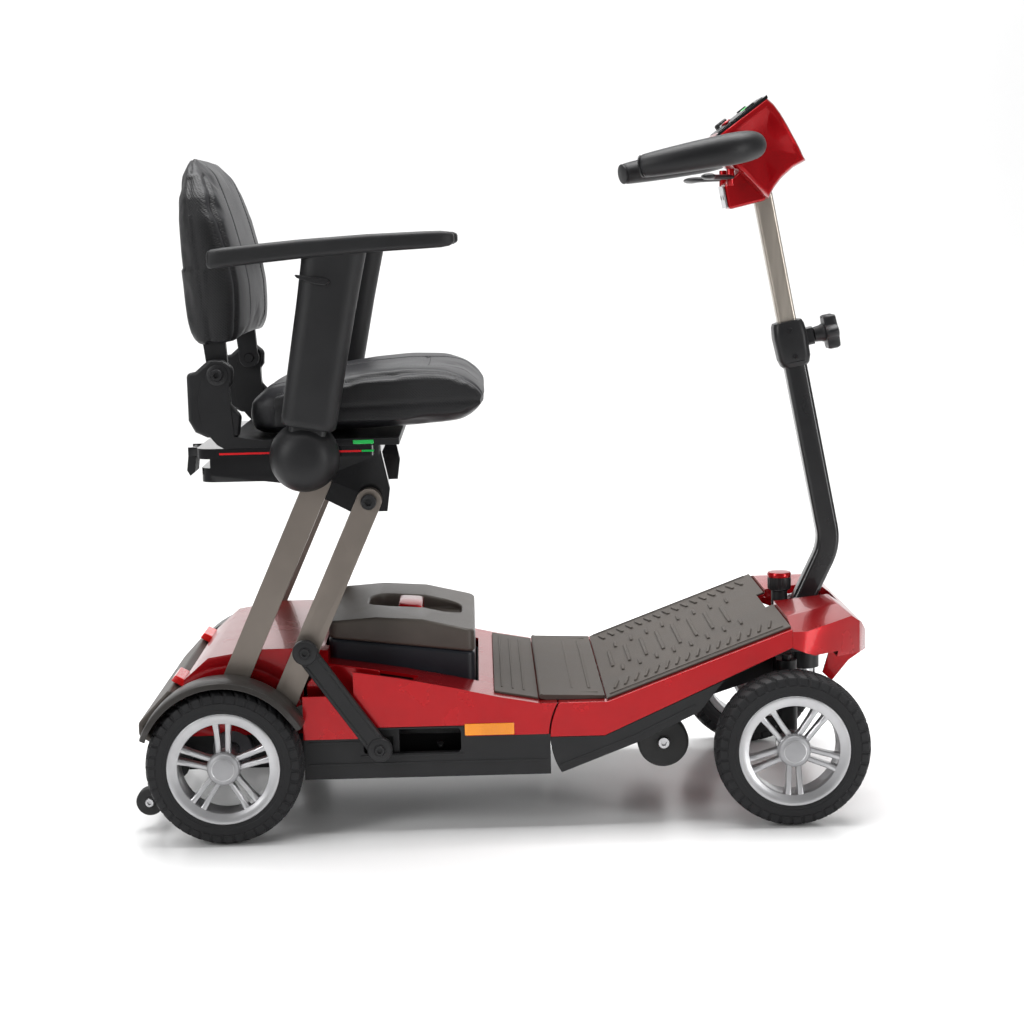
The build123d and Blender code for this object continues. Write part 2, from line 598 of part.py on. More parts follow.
with BuildPart() as front_cover:
    with BuildSketch(side(0)):
        with BuildLine():
            lower = Polyline((arc_end(HINGE_RADIUS, HINGE[1]), HINGE[1]), (481.5, 120), SILL_TIP,
                             (NOSE_X, 227.5), (NOSE_X, floor_height(NOSE_X)), (CREASE_X, DECK_HEIGHT),
                             (arc_end(HINGE_RADIUS, DECK_HEIGHT), DECK_HEIGHT))
            ThreePointArc(lower @ 1, (arc_end(HINGE_RADIUS, 142), 142), lower @ 0)
        make_face()
    extrude(amount=HALF_DECK, both=True)
    with BuildSketch(side(0)):
        Polygon((400, 90), (400, DECK_HEIGHT - WALL), (CREASE_X, DECK_HEIGHT - WALL),
                (NOSE_X + 1, floor_height(NOSE_X) - WALL), (NOSE_X + 1, 90), align=None)
    extrude(amount=HALF_DECK - WALL, both=True, mode=Mode.SUBTRACT)
    with BuildSketch(level(150)):
        with Locations((450, 0)):
            Rectangle(70, 2 * HALF_DECK - 36)
    extrude(amount=30, mode=Mode.SUBTRACT)
    with BuildSketch(level(200)):
        with Locations((NOSE_X, 0)):
            Rectangle(22, 92)
    extrude(amount=80, mode=Mode.SUBTRACT)
keep(front_cover, "front_cover")

with BuildPart() as front_lower_body:
    with BuildSketch(side(0)):
        with BuildLine():
            belly = Polyline((arc_end(HINGE_RADIUS, HINGE[1]), HINGE[1]), (481.5, 120), SILL_TIP, SILL_FRONT,
                             SILL_BEND, (425.7, 73), (arc_end(HINGE_RADIUS, 80), 80))
            ThreePointArc(belly @ 1, (arc_end(HINGE_RADIUS, 100), 100), belly @ 0)
        make_face()
    extrude(amount=HALF_DECK, both=True)
    with BuildSketch(side(0)):
        Polygon((400, 150), (400, 78), (424.5, 77), (SILL_BEND[0] - 1.5, SILL_BEND[1] + 3.5),
                (SILL_FRONT[0] - 3, SILL_FRONT[1] + 3), (SILL_TIP[0] + 5, SILL_TIP[1] + 8), (560, 200),
                align=None)
    extrude(amount=HALF_DECK - 6, both=True, mode=Mode.SUBTRACT)
    with BuildSketch(level(50)):
        with Locations(((517 + SILL_TIP[0] + 12) / 2, 0)):
            Rectangle(SILL_TIP[0] + 12 - 517, 2 * ROLLER_OUTER + 8)
    extrude(amount=150, mode=Mode.SUBTRACT)
keep(front_lower_body, "front_lower_body")

with BuildPart() as front_mat:
    slope_length = sqrt(1 + FLOOR_RISE ** 2)
    start = (CREASE_X - MAT_THICK * FLOOR_RISE / slope_length, DECK_HEIGHT + MAT_THICK / slope_length)
    end = (start[0] + NOSE_X - CREASE_X, start[1] + (NOSE_X - CREASE_X) * FLOOR_RISE)
    with BuildSketch(side(0)):
        Polygon((CREASE_X, DECK_HEIGHT), (NOSE_X, floor_height(NOSE_X)), end, start, align=None)
    extrude(amount=HALF_DECK - 11, both=True)
    with BuildSketch(level(200)):
        with Locations((NOSE_X, 0)):
            Rectangle(22, 92)
    extrude(amount=80, mode=Mode.SUBTRACT)
keep(front_mat, "front_mat")

FLAP_HINGE = (402.0, 169.0)
FLAP_END = CREASE_X - 3.0
FLAP_Z = DECK_HEIGHT + GAP

with BuildPart() as floor_flap:
    with BuildSketch(side(0)):
        Polygon((402, FLAP_Z + 1.5), (408, FLAP_Z), (FLAP_END, FLAP_Z), (FLAP_END, FLAP_Z + 4),
                (402, FLAP_Z + 7), align=None)
        with Locations(FLAP_HINGE):
            Circle(3)
    extrude(amount=HALF_DECK - 18, both=True)
keep(floor_flap, "floor_flap")

CHIN_HALF = 125.0

with BuildPart() as nose_cover:
    with BuildSketch(level(150)):
        with BuildLine():
            edge = Polyline((NOSE_X, -HALF_DECK), (NOSE_X + 18, -HALF_DECK), (NOSE_TIP - 18, -150),
                            (NOSE_TIP - 6, -CHIN_HALF))
            front = ThreePointArc(edge @ 1, (NOSE_TIP, 0), (NOSE_TIP - 6, CHIN_HALF))
            Polyline(front @ 1, (NOSE_TIP - 18, 150), (NOSE_X + 18, HALF_DECK), (NOSE_X, HALF_DECK), edge @ 0)
        make_face()
    extrude(amount=140)
    with BuildSketch(side(0)):
        Polygon((NOSE_X - 1, 227.5), (NOSE_X + 30, 215), (NOSE_X + 64, 215), (NOSE_X + 52, 176),
                (NOSE_X + 64, 165), (NOSE_X + 86, 192), (NOSE_TIP + 1, 212), (NOSE_TIP + 1, 222),
                (NOSE_X + 100, 246), (NOSE_X + 72, 266), (NOSE_X - 1, 258), align=None)
    extrude(amount=HALF_DECK + 1, both=True, mode=Mode.INTERSECT)
    for hand_name, hand in SIDES:
        with BuildSketch(across(NOSE_X - 1)):
            Polygon((hand * 105, 300), (hand * 105, 268), (hand * (HALF_DECK + 1), 248),
                    (hand * (HALF_DECK + 1), 300), align=None)
            Polygon((hand * CHIN_HALF, 140), (hand * CHIN_HALF, 208), (hand * 220, 208), (hand * 220, 140),
                    align=None)
        extrude(amount=130, mode=Mode.SUBTRACT)
    with BuildSketch(side(0)):
        Polygon((NOSE_X - 2, 150), (NOSE_X + 92, 150), (NOSE_X + 92, 216), (NOSE_X + 88, 244),
                (NOSE_X + 68, 256), (NOSE_X - 2, 246), align=None)
    extrude(amount=CHIN_HALF - WALL, both=True, mode=Mode.SUBTRACT)
    with BuildSketch(level(150)):
        with Locations((NOSE_X + 40, 0)):
            RectangleRounded(96, 92, 20)
    extrude(amount=140, mode=Mode.SUBTRACT)
keep(nose_cover, "nose_cover")


# =============== steering ===============

ARM_Z = 118.0
TIE_BOSS = 4.0

for hand_name, hand in SIDES:
    with BuildPart() as knuckle:
        with BuildSketch(level(84)):
            with Locations((WHEELBASE, hand * KINGPIN_Y)):
                Circle(14)
        extrude(amount=81)
        with BuildSketch(level(160)):
            with Locations((WHEELBASE, hand * KINGPIN_Y)):
                Circle(KINGPIN / 2)
        extrude(amount=50)
        with BuildSketch(slab(hand, KINGPIN_Y, FRONT_TRACK / 2 + 17)):
            with Locations((WHEELBASE, TYRE_RADIUS)):
                Circle(STUB / 2)
        extrude(amount=FRONT_TRACK / 2 + 17 - KINGPIN_Y)
        with BuildSketch(level(ARM_Z)):
            with Locations((WHEELBASE - CRANK / 2, hand * KINGPIN_Y)):
                Rectangle(CRANK, 14)
            with Locations((WHEELBASE - CRANK, hand * KINGPIN_Y)):
                Circle(7)
        extrude(amount=10)
        with BuildSketch(level(ARM_Z - 1)):
            with Locations((WHEELBASE - CRANK, hand * KINGPIN_Y)):
                Circle(TIE_BOSS + RUNNING)
        extrude(amount=12, mode=Mode.SUBTRACT)
    keep(knuckle, f"steering_knuckle_{hand_name}")

with BuildPart() as tie_rod:
    with BuildSketch(level(ARM_Z + 10 + GAP)):
        with Locations((WHEELBASE - CRANK, 0)):
            Rectangle(12, 2 * KINGPIN_Y)
        with Locations(((WHEELBASE + STEER_X) / 2 - CRANK, 0)):
            Rectangle(STEER_X - WHEELBASE, 16)
        with Locations((WHEELBASE - CRANK, KINGPIN_Y), (WHEELBASE - CRANK, -KINGPIN_Y), (STEER_X - CRANK, 0)):
            Circle(8)
    extrude(amount=8)
    with BuildSketch(level(ARM_Z)):
        with Locations((WHEELBASE - CRANK, KINGPIN_Y), (WHEELBASE - CRANK, -KINGPIN_Y)):
            Circle(TIE_BOSS)
    extrude(amount=14)
    with BuildSketch(level(ARM_Z + 12)):
        with Locations((STEER_X - CRANK, 0)):
            Circle(TIE_BOSS)
    extrude(amount=18)
keep(tie_rod, "tie_rod")

CRANK_Z = ARM_Z + 10 + GAP + 8 + GAP
YOKE_Z = 226.0
YOKE_GAP = 14.0
FOOT_PIN = 10.0
KNOB_X = STEER_X - 34.0

with BuildPart() as steering_stem:
    with BuildSketch(level(CRANK_Z)):
        with Locations((STEER_X, 0)):
            Circle(STEM / 2)
    extrude(amount=YOKE_Z - CRANK_Z + 3)
    with BuildSketch(level(CRANK_Z)):
        with Locations((STEER_X - CRANK / 2, 0)):
            Rectangle(CRANK, 16)
        with Locations((STEER_X - CRANK, 0)):
            Circle(8)
    extrude(amount=10)
    with BuildSketch(level(CRANK_Z - 1)):
        with Locations((STEER_X - CRANK, 0)):
            Circle(TIE_BOSS + RUNNING)
    extrude(amount=12, mode=Mode.SUBTRACT)
    with BuildSketch(level(YOKE_Z)):
        with Locations(((KNOB_X - 16 + STEER_X + 14) / 2, 0)):
            RectangleRounded(STEER_X + 14 - KNOB_X + 16, 44, 8)
    extrude(amount=4)
    for hand_name, hand in SIDES:
        with BuildSketch(slab(hand, YOKE_GAP, YOKE_GAP + 6)):
            Polygon((STEER_X - 18, YOKE_Z + 3), (STEER_X + 8, YOKE_Z + 3), (STEER_X + 6, 256),
                    (STEER_X - 16, 256), align=None)
        extrude(amount=6)
    with BuildSketch(side(0)):
        with Locations(TILLER_FOOT):
            Circle(FOOT_PIN / 2)
    extrude(amount=YOKE_GAP + 3, both=True)
    with BuildSketch(level(YOKE_Z - 1)):
        with Locations((KNOB_X, 0)):
            Circle(5 + RUNNING)
    extrude(amount=6, mode=Mode.SUBTRACT)
keep(steering_stem, "steering_stem")

with BuildPart() as tiller_lock_knob:
    with BuildSketch(level(YOKE_Z + 4 + GAP)):
        with Locations((KNOB_X, 0)):
            Circle(11)
    extrude(amount=36)
    with BuildSketch(level(264)):
        with Locations((KNOB_X, 0)):
            Circle(16)
    extrude(amount=27)
    with BuildSketch(level(YOKE_Z - 6)):
        with Locations((KNOB_X, 0)):
            Circle(5)
    extrude(amount=12)
keep(tiller_lock_knob, "tiller_lock_knob")


# =============== tiller ===============

LEAN = radians(TILLER_LEAN)
TUBE_DEEP, TUBE_WIDE = 30.0, 26.0
MAST_DEEP, MAST_WIDE = 25.0, 20.0
SLIDE_FIT = 0.1
MAST_BELOW = 100.0            # mast inside the lower tube
COLLAR_HEIGHT = 52.0
tiller_top = Plane(origin=(REAR_AXLE_X + TILLER_STRAIGHT[0], 0, TILLER_STRAIGHT[1]),
                   x_dir=(cos(LEAN), 0, sin(LEAN)), z_dir=(-sin(LEAN), 0, cos(LEAN)))
BEND = (STEER_X + 34.8, 328.2)

with BuildPart() as tiller_tube:
    with BuildLine(side(0)) as tiller_path:
        FilletPolyline(TILLER_FOOT, BEND, TILLER_STRAIGHT, radius=70)
    foot_direction = tiller_path.line % 0
    with BuildSketch(Plane(origin=tiller_path.line @ 0, x_dir=(0, 1, 0), z_dir=foot_direction)):
        RectangleRounded(TUBE_WIDE, TUBE_DEEP, 6)
    sweep()
    with BuildSketch(side(0)):
        with Locations(TILLER_FOOT):
            Circle(13)
    extrude(amount=TUBE_WIDE / 2, both=True)
    with BuildSketch(tiller_top):
        RectangleRounded(TUBE_DEEP + 10, TUBE_WIDE + 10, 10)
    extrude(amount=COLLAR_HEIGHT)
    with BuildSketch(tiller_top.offset(COLLAR_HEIGHT)):
        RectangleRounded(MAST_DEEP + 2 * SLIDE_FIT, MAST_WIDE + 2 * SLIDE_FIT, 4)
    extrude(amount=-COLLAR_HEIGHT - 215, mode=Mode.SUBTRACT)
    knob_axis = Plane(origin=tiller_top.from_local_coords((TUBE_DEEP / 2 + 4, 0, 30)),
                      x_dir=(0, 1, 0), z_dir=tiller_top.x_dir)
    with BuildSketch(knob_axis):
        RectangleRounded(20, 24, 4)
    extrude(amount=12)
    with BuildSketch(knob_axis.offset(-3)):
        Circle(5 + RUNNING)
    extrude(amount=20, mode=Mode.SUBTRACT)
    with BuildSketch(side(0)):
        with Locations(TILLER_FOOT):
            Circle(FOOT_PIN / 2 + RUNNING)
    extrude(amount=40, both=True, mode=Mode.SUBTRACT)
keep(tiller_tube, "tiller_tube")

with BuildPart() as height_knob:
    with BuildSketch(knob_axis.offset(-1)):
        Circle(5)
    extrude(amount=16)
    with BuildSketch(knob_axis.offset(14)):
        Circle(10)
    extrude(amount=20)
    with BuildSketch(knob_axis.offset(26)):
        Circle(20)
        with PolarLocations(18, 6):
            Circle(6.5)
    extrude(amount=20)
keep(height_knob, "height_knob")

HEAD_ALONG = 214.0            # underside of the head above the lower tube's end

with BuildPart() as mast:
    with BuildSketch(tiller_top.offset(-MAST_BELOW)):
        RectangleRounded(MAST_DEEP, MAST_WIDE, 4)
    extrude(amount=MAST_BELOW + HEAD_ALONG + 46)
keep(mast, "mast")

HEAD_HALF = 58.0
HEAD_OUTLINE = [(-53, 793), (-46, 806), (-36, 819), (-20, 833), (-3, 842), (-10, 856), (-20, 875), (-37, 905),
                (-56, 927), (-121, 878), (-124, 858), (-89, 827)]
DASH = [(-56, 927), (-121, 878), (-118.6, 874.8), (-54.5, 922.9)]
BAR_RADIUS = 14.0
BAR_BACK = 70.0               # cross-bar behind the steering axis
BAR_SLOPE = radians(9.5)
bar_plane = Plane(origin=(REAR_AXLE_X + STEER_X - BAR_BACK, 0, HEAD_Z),
                  x_dir=(cos(BAR_SLOPE), 0, sin(BAR_SLOPE)), z_dir=(-sin(BAR_SLOPE), 0, cos(BAR_SLOPE)))
BAR_HALF = 180.0
BAR_TAIL = -168.0

with BuildPart() as handlebar:
    with BuildLine(bar_plane) as bar_path:
        FilletPolyline((BAR_TAIL, BAR_HALF - 42), (BAR_TAIL + 36, BAR_HALF), (0, BAR_HALF), (0, -BAR_HALF),
                       (BAR_TAIL + 36, -BAR_HALF), (BAR_TAIL, -BAR_HALF + 42), radius=[30, 50, 50, 30])
    with BuildSketch(Plane(origin=bar_path.line @ 0, z_dir=bar_path.line % 0)):
        Circle(BAR_RADIUS)
    sweep()
keep(handlebar, "handlebar")

BLOCK = [(-53, 793), (-102, 782), (-108, 812), (-80, 836), (-46, 836)]

LEVER_PIVOT = (-102.0, 40.0)
LEVER_PIN = 4.0
LEVER_Z = 820.0
BLOCK_HALF = 24.0
BRACKET_HOLES = ((-86, 800.0), (-86, 820.0))      # small threaded holes for an accessory bracket

with BuildPart() as head_cover:
    with BuildSketch(tiller_side(0)):
        Polygon(*HEAD_OUTLINE, align=None)
    extrude(amount=HEAD_HALF, both=True)
    with BuildSketch(tiller_side(0)):
        Polygon(*HEAD_OUTLINE, align=None)
        offset(amount=-WALL, kind=Kind.INTERSECTION)
    extrude(amount=HEAD_HALF - WALL, both=True, mode=Mode.SUBTRACT)
    with BuildSketch(tiller_side(0)):
        Polygon(*BLOCK, align=None)
    extrude(amount=BLOCK_HALF, both=True)
    with BuildSketch(tiller_side(0)):
        Polygon((-54.5, 922.9), (-118.6, 874.8), (-130, 880), (-80, 950), (-52, 930), align=None)
    extrude(amount=HEAD_HALF + 1, both=True, mode=Mode.SUBTRACT)
    with BuildSketch(tiller_side(0)):
        with Locations((-BAR_BACK, HEAD_Z)):
            Circle(BAR_RADIUS)
    extrude(amount=HEAD_HALF + 1, both=True, mode=Mode.SUBTRACT)
    with BuildSketch(tiller_top.offset(HEAD_ALONG - 30)):
        RectangleRounded(MAST_DEEP, MAST_WIDE, 4)
    extrude(amount=76, mode=Mode.SUBTRACT)
    for hand_name, hand in SIDES:
        with BuildSketch(tiller_level(LEVER_Z - GAP)):
            with Locations((LEVER_PIVOT[0], hand * LEVER_PIVOT[1])):
                Circle(LEVER_PIN)
        extrude(amount=842 - LEVER_Z)
        with BuildSketch(tiller_level(LEVER_Z - GAP - 3)):
            with Locations((LEVER_PIVOT[0], hand * LEVER_PIVOT[1])):
                Circle(LEVER_PIN + 2.5)
        extrude(amount=3)
    with BuildSketch(tiller_side(BLOCK_HALF)):
        with Locations(*BRACKET_HOLES):
            Circle(2.1)
    extrude(amount=9, mode=Mode.SUBTRACT)
keep(head_cover, "head_cover")

with BuildPart() as dash_panel:
    with BuildSketch(tiller_side(0)):
        Polygon(*DASH, align=None)
    extrude(amount=HEAD_HALF - 2, both=True)
    dash_face = Plane(origin=(REAR_AXLE_X + STEER_X - 121, 0, 878), x_dir=(65, 0, 49), z_dir=(-49, 0, 65))
    with BuildSketch(dash_face.offset(-6)):
        with Locations((22, 24), (22, -24)):
            Circle(3 + RUNNING)
    extrude(amount=10, mode=Mode.SUBTRACT)
keep(dash_panel, "dash_panel")

with BuildPart() as speed_dial:
    with BuildSketch(dash_face.offset(-8)):
        with Locations((22, 24)):
            Circle(3)
    extrude(amount=10)
    with BuildSketch(dash_face.offset(GAP)):
        with Locations((22, 24)):
            Circle(9)
    extrude(amount=7)
keep(speed_dial, "speed_dial")

with BuildPart() as horn_button:
    with BuildSketch(dash_face.offset(-8)):
        with Locations((22, -24)):
            Circle(3)
    extrude(amount=12)
    with BuildSketch(dash_face.offset(2.5)):
        with Locations((22, -24)):
            Circle(7)
    extrude(amount=2.5)
keep(horn_button, "horn_button")

for name, hand in (("reverse_lever", 1), ("forward_lever", -1)):
    with BuildPart() as lever:
        with BuildSketch(tiller_level(LEVER_Z)):
            with Locations((LEVER_PIVOT[0], hand * LEVER_PIVOT[1])):
                Circle(7)
            Polygon((-106, hand * 38), (-98, hand * 44), (-128, hand * 66), (-134, hand * 62), align=None)
            Polygon((-128, hand * 60), (-130, hand * 118), (-144, hand * 122), (-140, hand * 60), align=None)
            with Locations((LEVER_PIVOT[0], hand * LEVER_PIVOT[1])):
                Circle(LEVER_PIN + RUNNING, mode=Mode.SUBTRACT)
        extrude(amount=6)
    keep(lever, name)


# =============== seat lift ===============

PIN_HEAD = 9.0

for name, foot, top in (("front_seat_posts", FRONT_FOOT, FRONT_TOP),
                        ("rear_seat_posts", REAR_FOOT, REAR_TOP)):
    with BuildPart() as posts:
        for hand_name, hand in SIDES:
            with BuildSketch(slab(hand, POST_INNER, POST_OUTER)):
                SlotCenterPoint(((foot[0] + top[0]) / 2, (foot[1] + top[1]) / 2), top, POST_DEPTH)
                with Locations(foot, top):
                    Circle(AXLE_PIN / 2 + RUNNING, mode=Mode.SUBTRACT)
            extrude(amount=POST_OUTER - POST_INNER)
            if name == "front_seat_posts":
                with BuildSketch(slab(hand, POST_OUTER, LINK_INNER - 0.5)):
                    with Locations(LINK_TOP):
                        Circle(9)
                extrude(amount=LINK_INNER - 0.5 - POST_OUTER)
                with BuildSketch(slab(hand, POST_OUTER, LINK_OUTER)):
                    with Locations(LINK_TOP):
                        Circle(6)
                extrude(amount=LINK_OUTER - POST_OUTER)
    keep(posts, name)

with BuildPart() as drag_links:
    for hand_name, hand in SIDES:
        with BuildSketch(slab(hand, LINK_INNER, LINK_OUTER)):
            SlotCenterPoint(((LINK_FOOT[0] + LINK_TOP[0]) / 2, (LINK_FOOT[1] + LINK_TOP[1]) / 2), LINK_TOP,
                            LINK_WIDTH - 6)
            with Locations(LINK_TOP, LINK_FOOT):
                Circle(LINK_WIDTH / 2)
            with Locations(LINK_TOP):
                Circle(6 + RUNNING, mode=Mode.SUBTRACT)
        extrude(amount=LINK_OUTER - LINK_INNER)
        with BuildSketch(slab(hand, LEDGE_INNER + 4, LINK_INNER)):
            with Locations(LINK_FOOT):
                Circle(LINK_PIN / 2)
        extrude(amount=LINK_INNER - LEDGE_INNER - 4)
keep(drag_links, "drag_links")

SEAT_PIN = (189.9, 427.1)     # front top pin in the seat's own coordinates
SEAT_X = REAR_AXLE_X + FRONT_TOP[0] - SEAT_PIN[0]
SEAT_Z = FRONT_TOP[1] - SEAT_PIN[1]


def seat_side(y):
    """The side plane in the seat's own coordinates, which follow the posts' length."""
    return Plane(origin=(SEAT_X, y, SEAT_Z), x_dir=(1, 0, 0), z_dir=(0, -1, 0))


def seat_slab(hand, inner, outer):
    return seat_side(max(hand * inner, hand * outer))


def seat_level(z):
    return Plane(origin=(SEAT_X, 0, SEAT_Z + z))


TRACK_TOP = 497.0
LEVER_MIDDLE = -130.0                                 # y of the slide lever
SLIDE_PIVOT = (-35.0, 490.0)
CHEEK_INNER, CHEEK_OUTER = POST_INNER - 10.0, POST_INNER - 2.0

with BuildPart() as seat_base:
    with BuildSketch(seat_level(484)):
        with Locations((90, 0)):
            RectangleRounded(232, 2 * POST_INNER + 24, 20)
    extrude(amount=TRACK_TOP - 484)
    with BuildSketch(seat_level(452)):
        with Locations((76, 0)):
            RectangleRounded(200, 2 * CHEEK_INNER - 2, 20)
    extrude(amount=18)
    for hand_name, hand in SIDES:
        with BuildSketch(seat_slab(hand, CHEEK_INNER - 8, CHEEK_OUTER)):
            Polygon((-10, 462), (96, 448), (166, 411), (212, 411), (216, 440), (206, 488), (-10, 488),
                    align=None)
        extrude(amount=CHEEK_OUTER - CHEEK_INNER + 8)
        with BuildSketch(slab(hand, CHEEK_OUTER, POST_OUTER)):
            with Locations(FRONT_TOP, REAR_TOP):
                Circle(AXLE_PIN / 2)
        extrude(amount=POST_OUTER - CHEEK_OUTER)
        with BuildSketch(slab(hand, POST_OUTER, POST_OUTER + 1)):
            with Locations(FRONT_TOP):
                Circle(AXLE_PIN / 2)
        extrude(amount=1)
        with BuildSketch(slab(hand, POST_OUTER + 0.5, POST_OUTER + 5)):
            with Locations(FRONT_TOP):
                Circle(PIN_HEAD)
        extrude(amount=4.5)
    for ear in (LEVER_MIDDLE + 25, LEVER_MIDDLE - 20):
        with BuildSketch(seat_side(ear)):
            Polygon((-20, 485), (-40, 485), (-40, 496), (-20, 496), align=None)
        extrude(amount=5)
    with BuildSketch(seat_side(LEVER_MIDDLE + 25)):
        with Locations(SLIDE_PIVOT):
            Circle(3)
    extrude(amount=50)
keep(seat_base, "seat_base")

PAN_BOTTOM, PAN_TOP = TRACK_TOP + GAP, TRACK_TOP + 9.0
CAST_INNER, CAST_OUTER = POST_INNER - 2.0, POST_INNER + 14.0

ARM_PIN_END = CAST_OUTER + 42.0

with BuildPart() as seat_pan:
    with BuildSketch(seat_level(PAN_BOTTOM)):
        with Locations((120, 0)):
            Rectangle(220, 2 * CAST_OUTER)
    extrude(amount=PAN_TOP - PAN_BOTTOM)
    for hand_name, hand in SIDES:
        with BuildSketch(seat_slab(hand, CAST_OUTER - 0.5, CAST_OUTER + 7)):
            Polygon((95, PAN_TOP), (131, PAN_TOP), (127, 478), (99, 478), align=None)
            with Locations(ARM_PIVOT):
                Circle(14)
        extrude(amount=7.5)
        with BuildSketch(seat_slab(hand, CAST_OUTER + 7, ARM_PIN_END)):
            with Locations(ARM_PIVOT):
                Circle(8)
        extrude(amount=ARM_PIN_END - CAST_OUTER - 7)
        with BuildSketch(seat_slab(hand, CAST_INNER, CAST_OUTER)):
            Polygon((60, PAN_BOTTOM), (60, PAN_TOP), (24, 512), (20, 560),
                    (BACK_HINGE[0] + 14, BACK_HINGE[1]), (BACK_HINGE[0] - 17, BACK_HINGE[1]), (-20, 560),
                    (-16, 524), (2, 502), (10, PAN_BOTTOM), align=None)
            with Locations(BACK_HINGE):
                Circle(17)
        extrude(amount=CAST_OUTER - CAST_INNER)
        with BuildSketch(seat_slab(hand, CAST_INNER - 15, CAST_INNER)):
            with Locations(BACK_HINGE):
                Circle(6)
        extrude(amount=15)
keep(seat_pan, "seat_pan")

with BuildPart() as slide_lever:
    with BuildSketch(seat_side(LEVER_MIDDLE + 20 - GAP)):
        Polygon((-30, 491), (-33, 464), (-39, 459), (-43, 466), (-40, 491), align=None)
        with Locations(SLIDE_PIVOT):
            Circle(5)
            Circle(3 + RUNNING, mode=Mode.SUBTRACT)
    extrude(amount=40 - 2 * GAP)
keep(slide_lever, "slide_lever")

with BuildPart() as seat_cushion:
    with BuildSketch(seat_side(0)):
        Polygon((30, PAN_TOP + 0.2), (318, 520), (346, 536), (356, 556), (344, 580), (300, 594), (210, 594),
                (130, 584), (70, 568), (30, 562), align=None)
    extrude(amount=CAST_INNER - 1, both=True)
    with BuildSketch(seat_side(0)):
        Polygon((66, 512), (318, 521), (346, 537), (354, 556), (340, 576), (300, 586), (210, 584), (130, 574),
                (66, 562), align=None)
    extrude(amount=CAST_OUTER + 6, both=True)
keep(seat_cushion, "seat_cushion")

TAB_INNER, TAB_OUTER = CAST_INNER - 13.0, CAST_INNER - 1.0

with BuildPart() as backrest_frame:
    for hand_name, hand in SIDES:
        with BuildSketch(seat_slab(hand, TAB_INNER, TAB_OUTER)):
            Polygon((BACK_HINGE[0] - 13, BACK_HINGE[1] - 4), (BACK_HINGE[0] + 13, BACK_HINGE[1] - 4),
                    (BACK_HINGE[0] + 9, 640), (BACK_HINGE[0] + 3, 700), (-14, 700), (-14, 640), align=None)
            with Locations(BACK_HINGE):
                Circle(14)
                Circle(6 + RUNNING, mode=Mode.SUBTRACT)
        extrude(amount=TAB_OUTER - TAB_INNER)
    with BuildSketch(seat_side(0)):
        Polygon((-12, 650), (6, 650), (2, 690), (-14, 690), align=None)
    extrude(amount=TAB_INNER + 1, both=True)
keep(backrest_frame, "backrest_frame")

BACK_HALF = CAST_OUTER + 4.0

with BuildPart() as backrest_cushion:
    with BuildSketch(Plane(origin=(SEAT_X - 45, 0, SEAT_Z), x_dir=(0, 1, 0), z_dir=(1, 0, 0))):
        with BuildLine():
            base = Polyline((46 - BACK_HALF, 870), (4 - BACK_HALF, 780), (-BACK_HALF, 626), (BACK_HALF, 626),
                            (BACK_HALF - 4, 780), (BACK_HALF - 46, 870))
            ThreePointArc(base @ 1, (0, 873), base @ 0)
        make_face()
    extrude(amount=80)
    with BuildSketch(seat_side(0)):
        Polygon((-26, 626), (32, 626), (34, 700), (22, 770), (4, 830), (-16, 866), (-32, 873), (-42, 858),
                (-40, 780), (-32, 700), align=None)
    extrude(amount=BACK_HALF + 10, both=True, mode=Mode.INTERSECT)
    with BuildSketch(seat_side(0)):
        Polygon((-14, 620), (BACK_HINGE[0] + 13, 620), (BACK_HINGE[0] + 9, 640), (BACK_HINGE[0] + 3, 700),
                (-14, 700), align=None)
    extrude(amount=TAB_OUTER, both=True, mode=Mode.SUBTRACT)
keep(backrest_cushion, "backrest_cushion")


# =============== armrests ===============

DOME_INNER, DOME_OUTER = CAST_OUTER + 10.0, CAST_OUTER + 62.0
DOME_RADIUS = 44.0
INNER_POST = (46.0, 24.0)
SLEEVE = (68.0, 38.0)
ARM_Y = (DOME_INNER + DOME_OUTER) / 2 + 1.0
arm_lean = radians(ARM_LEAN)

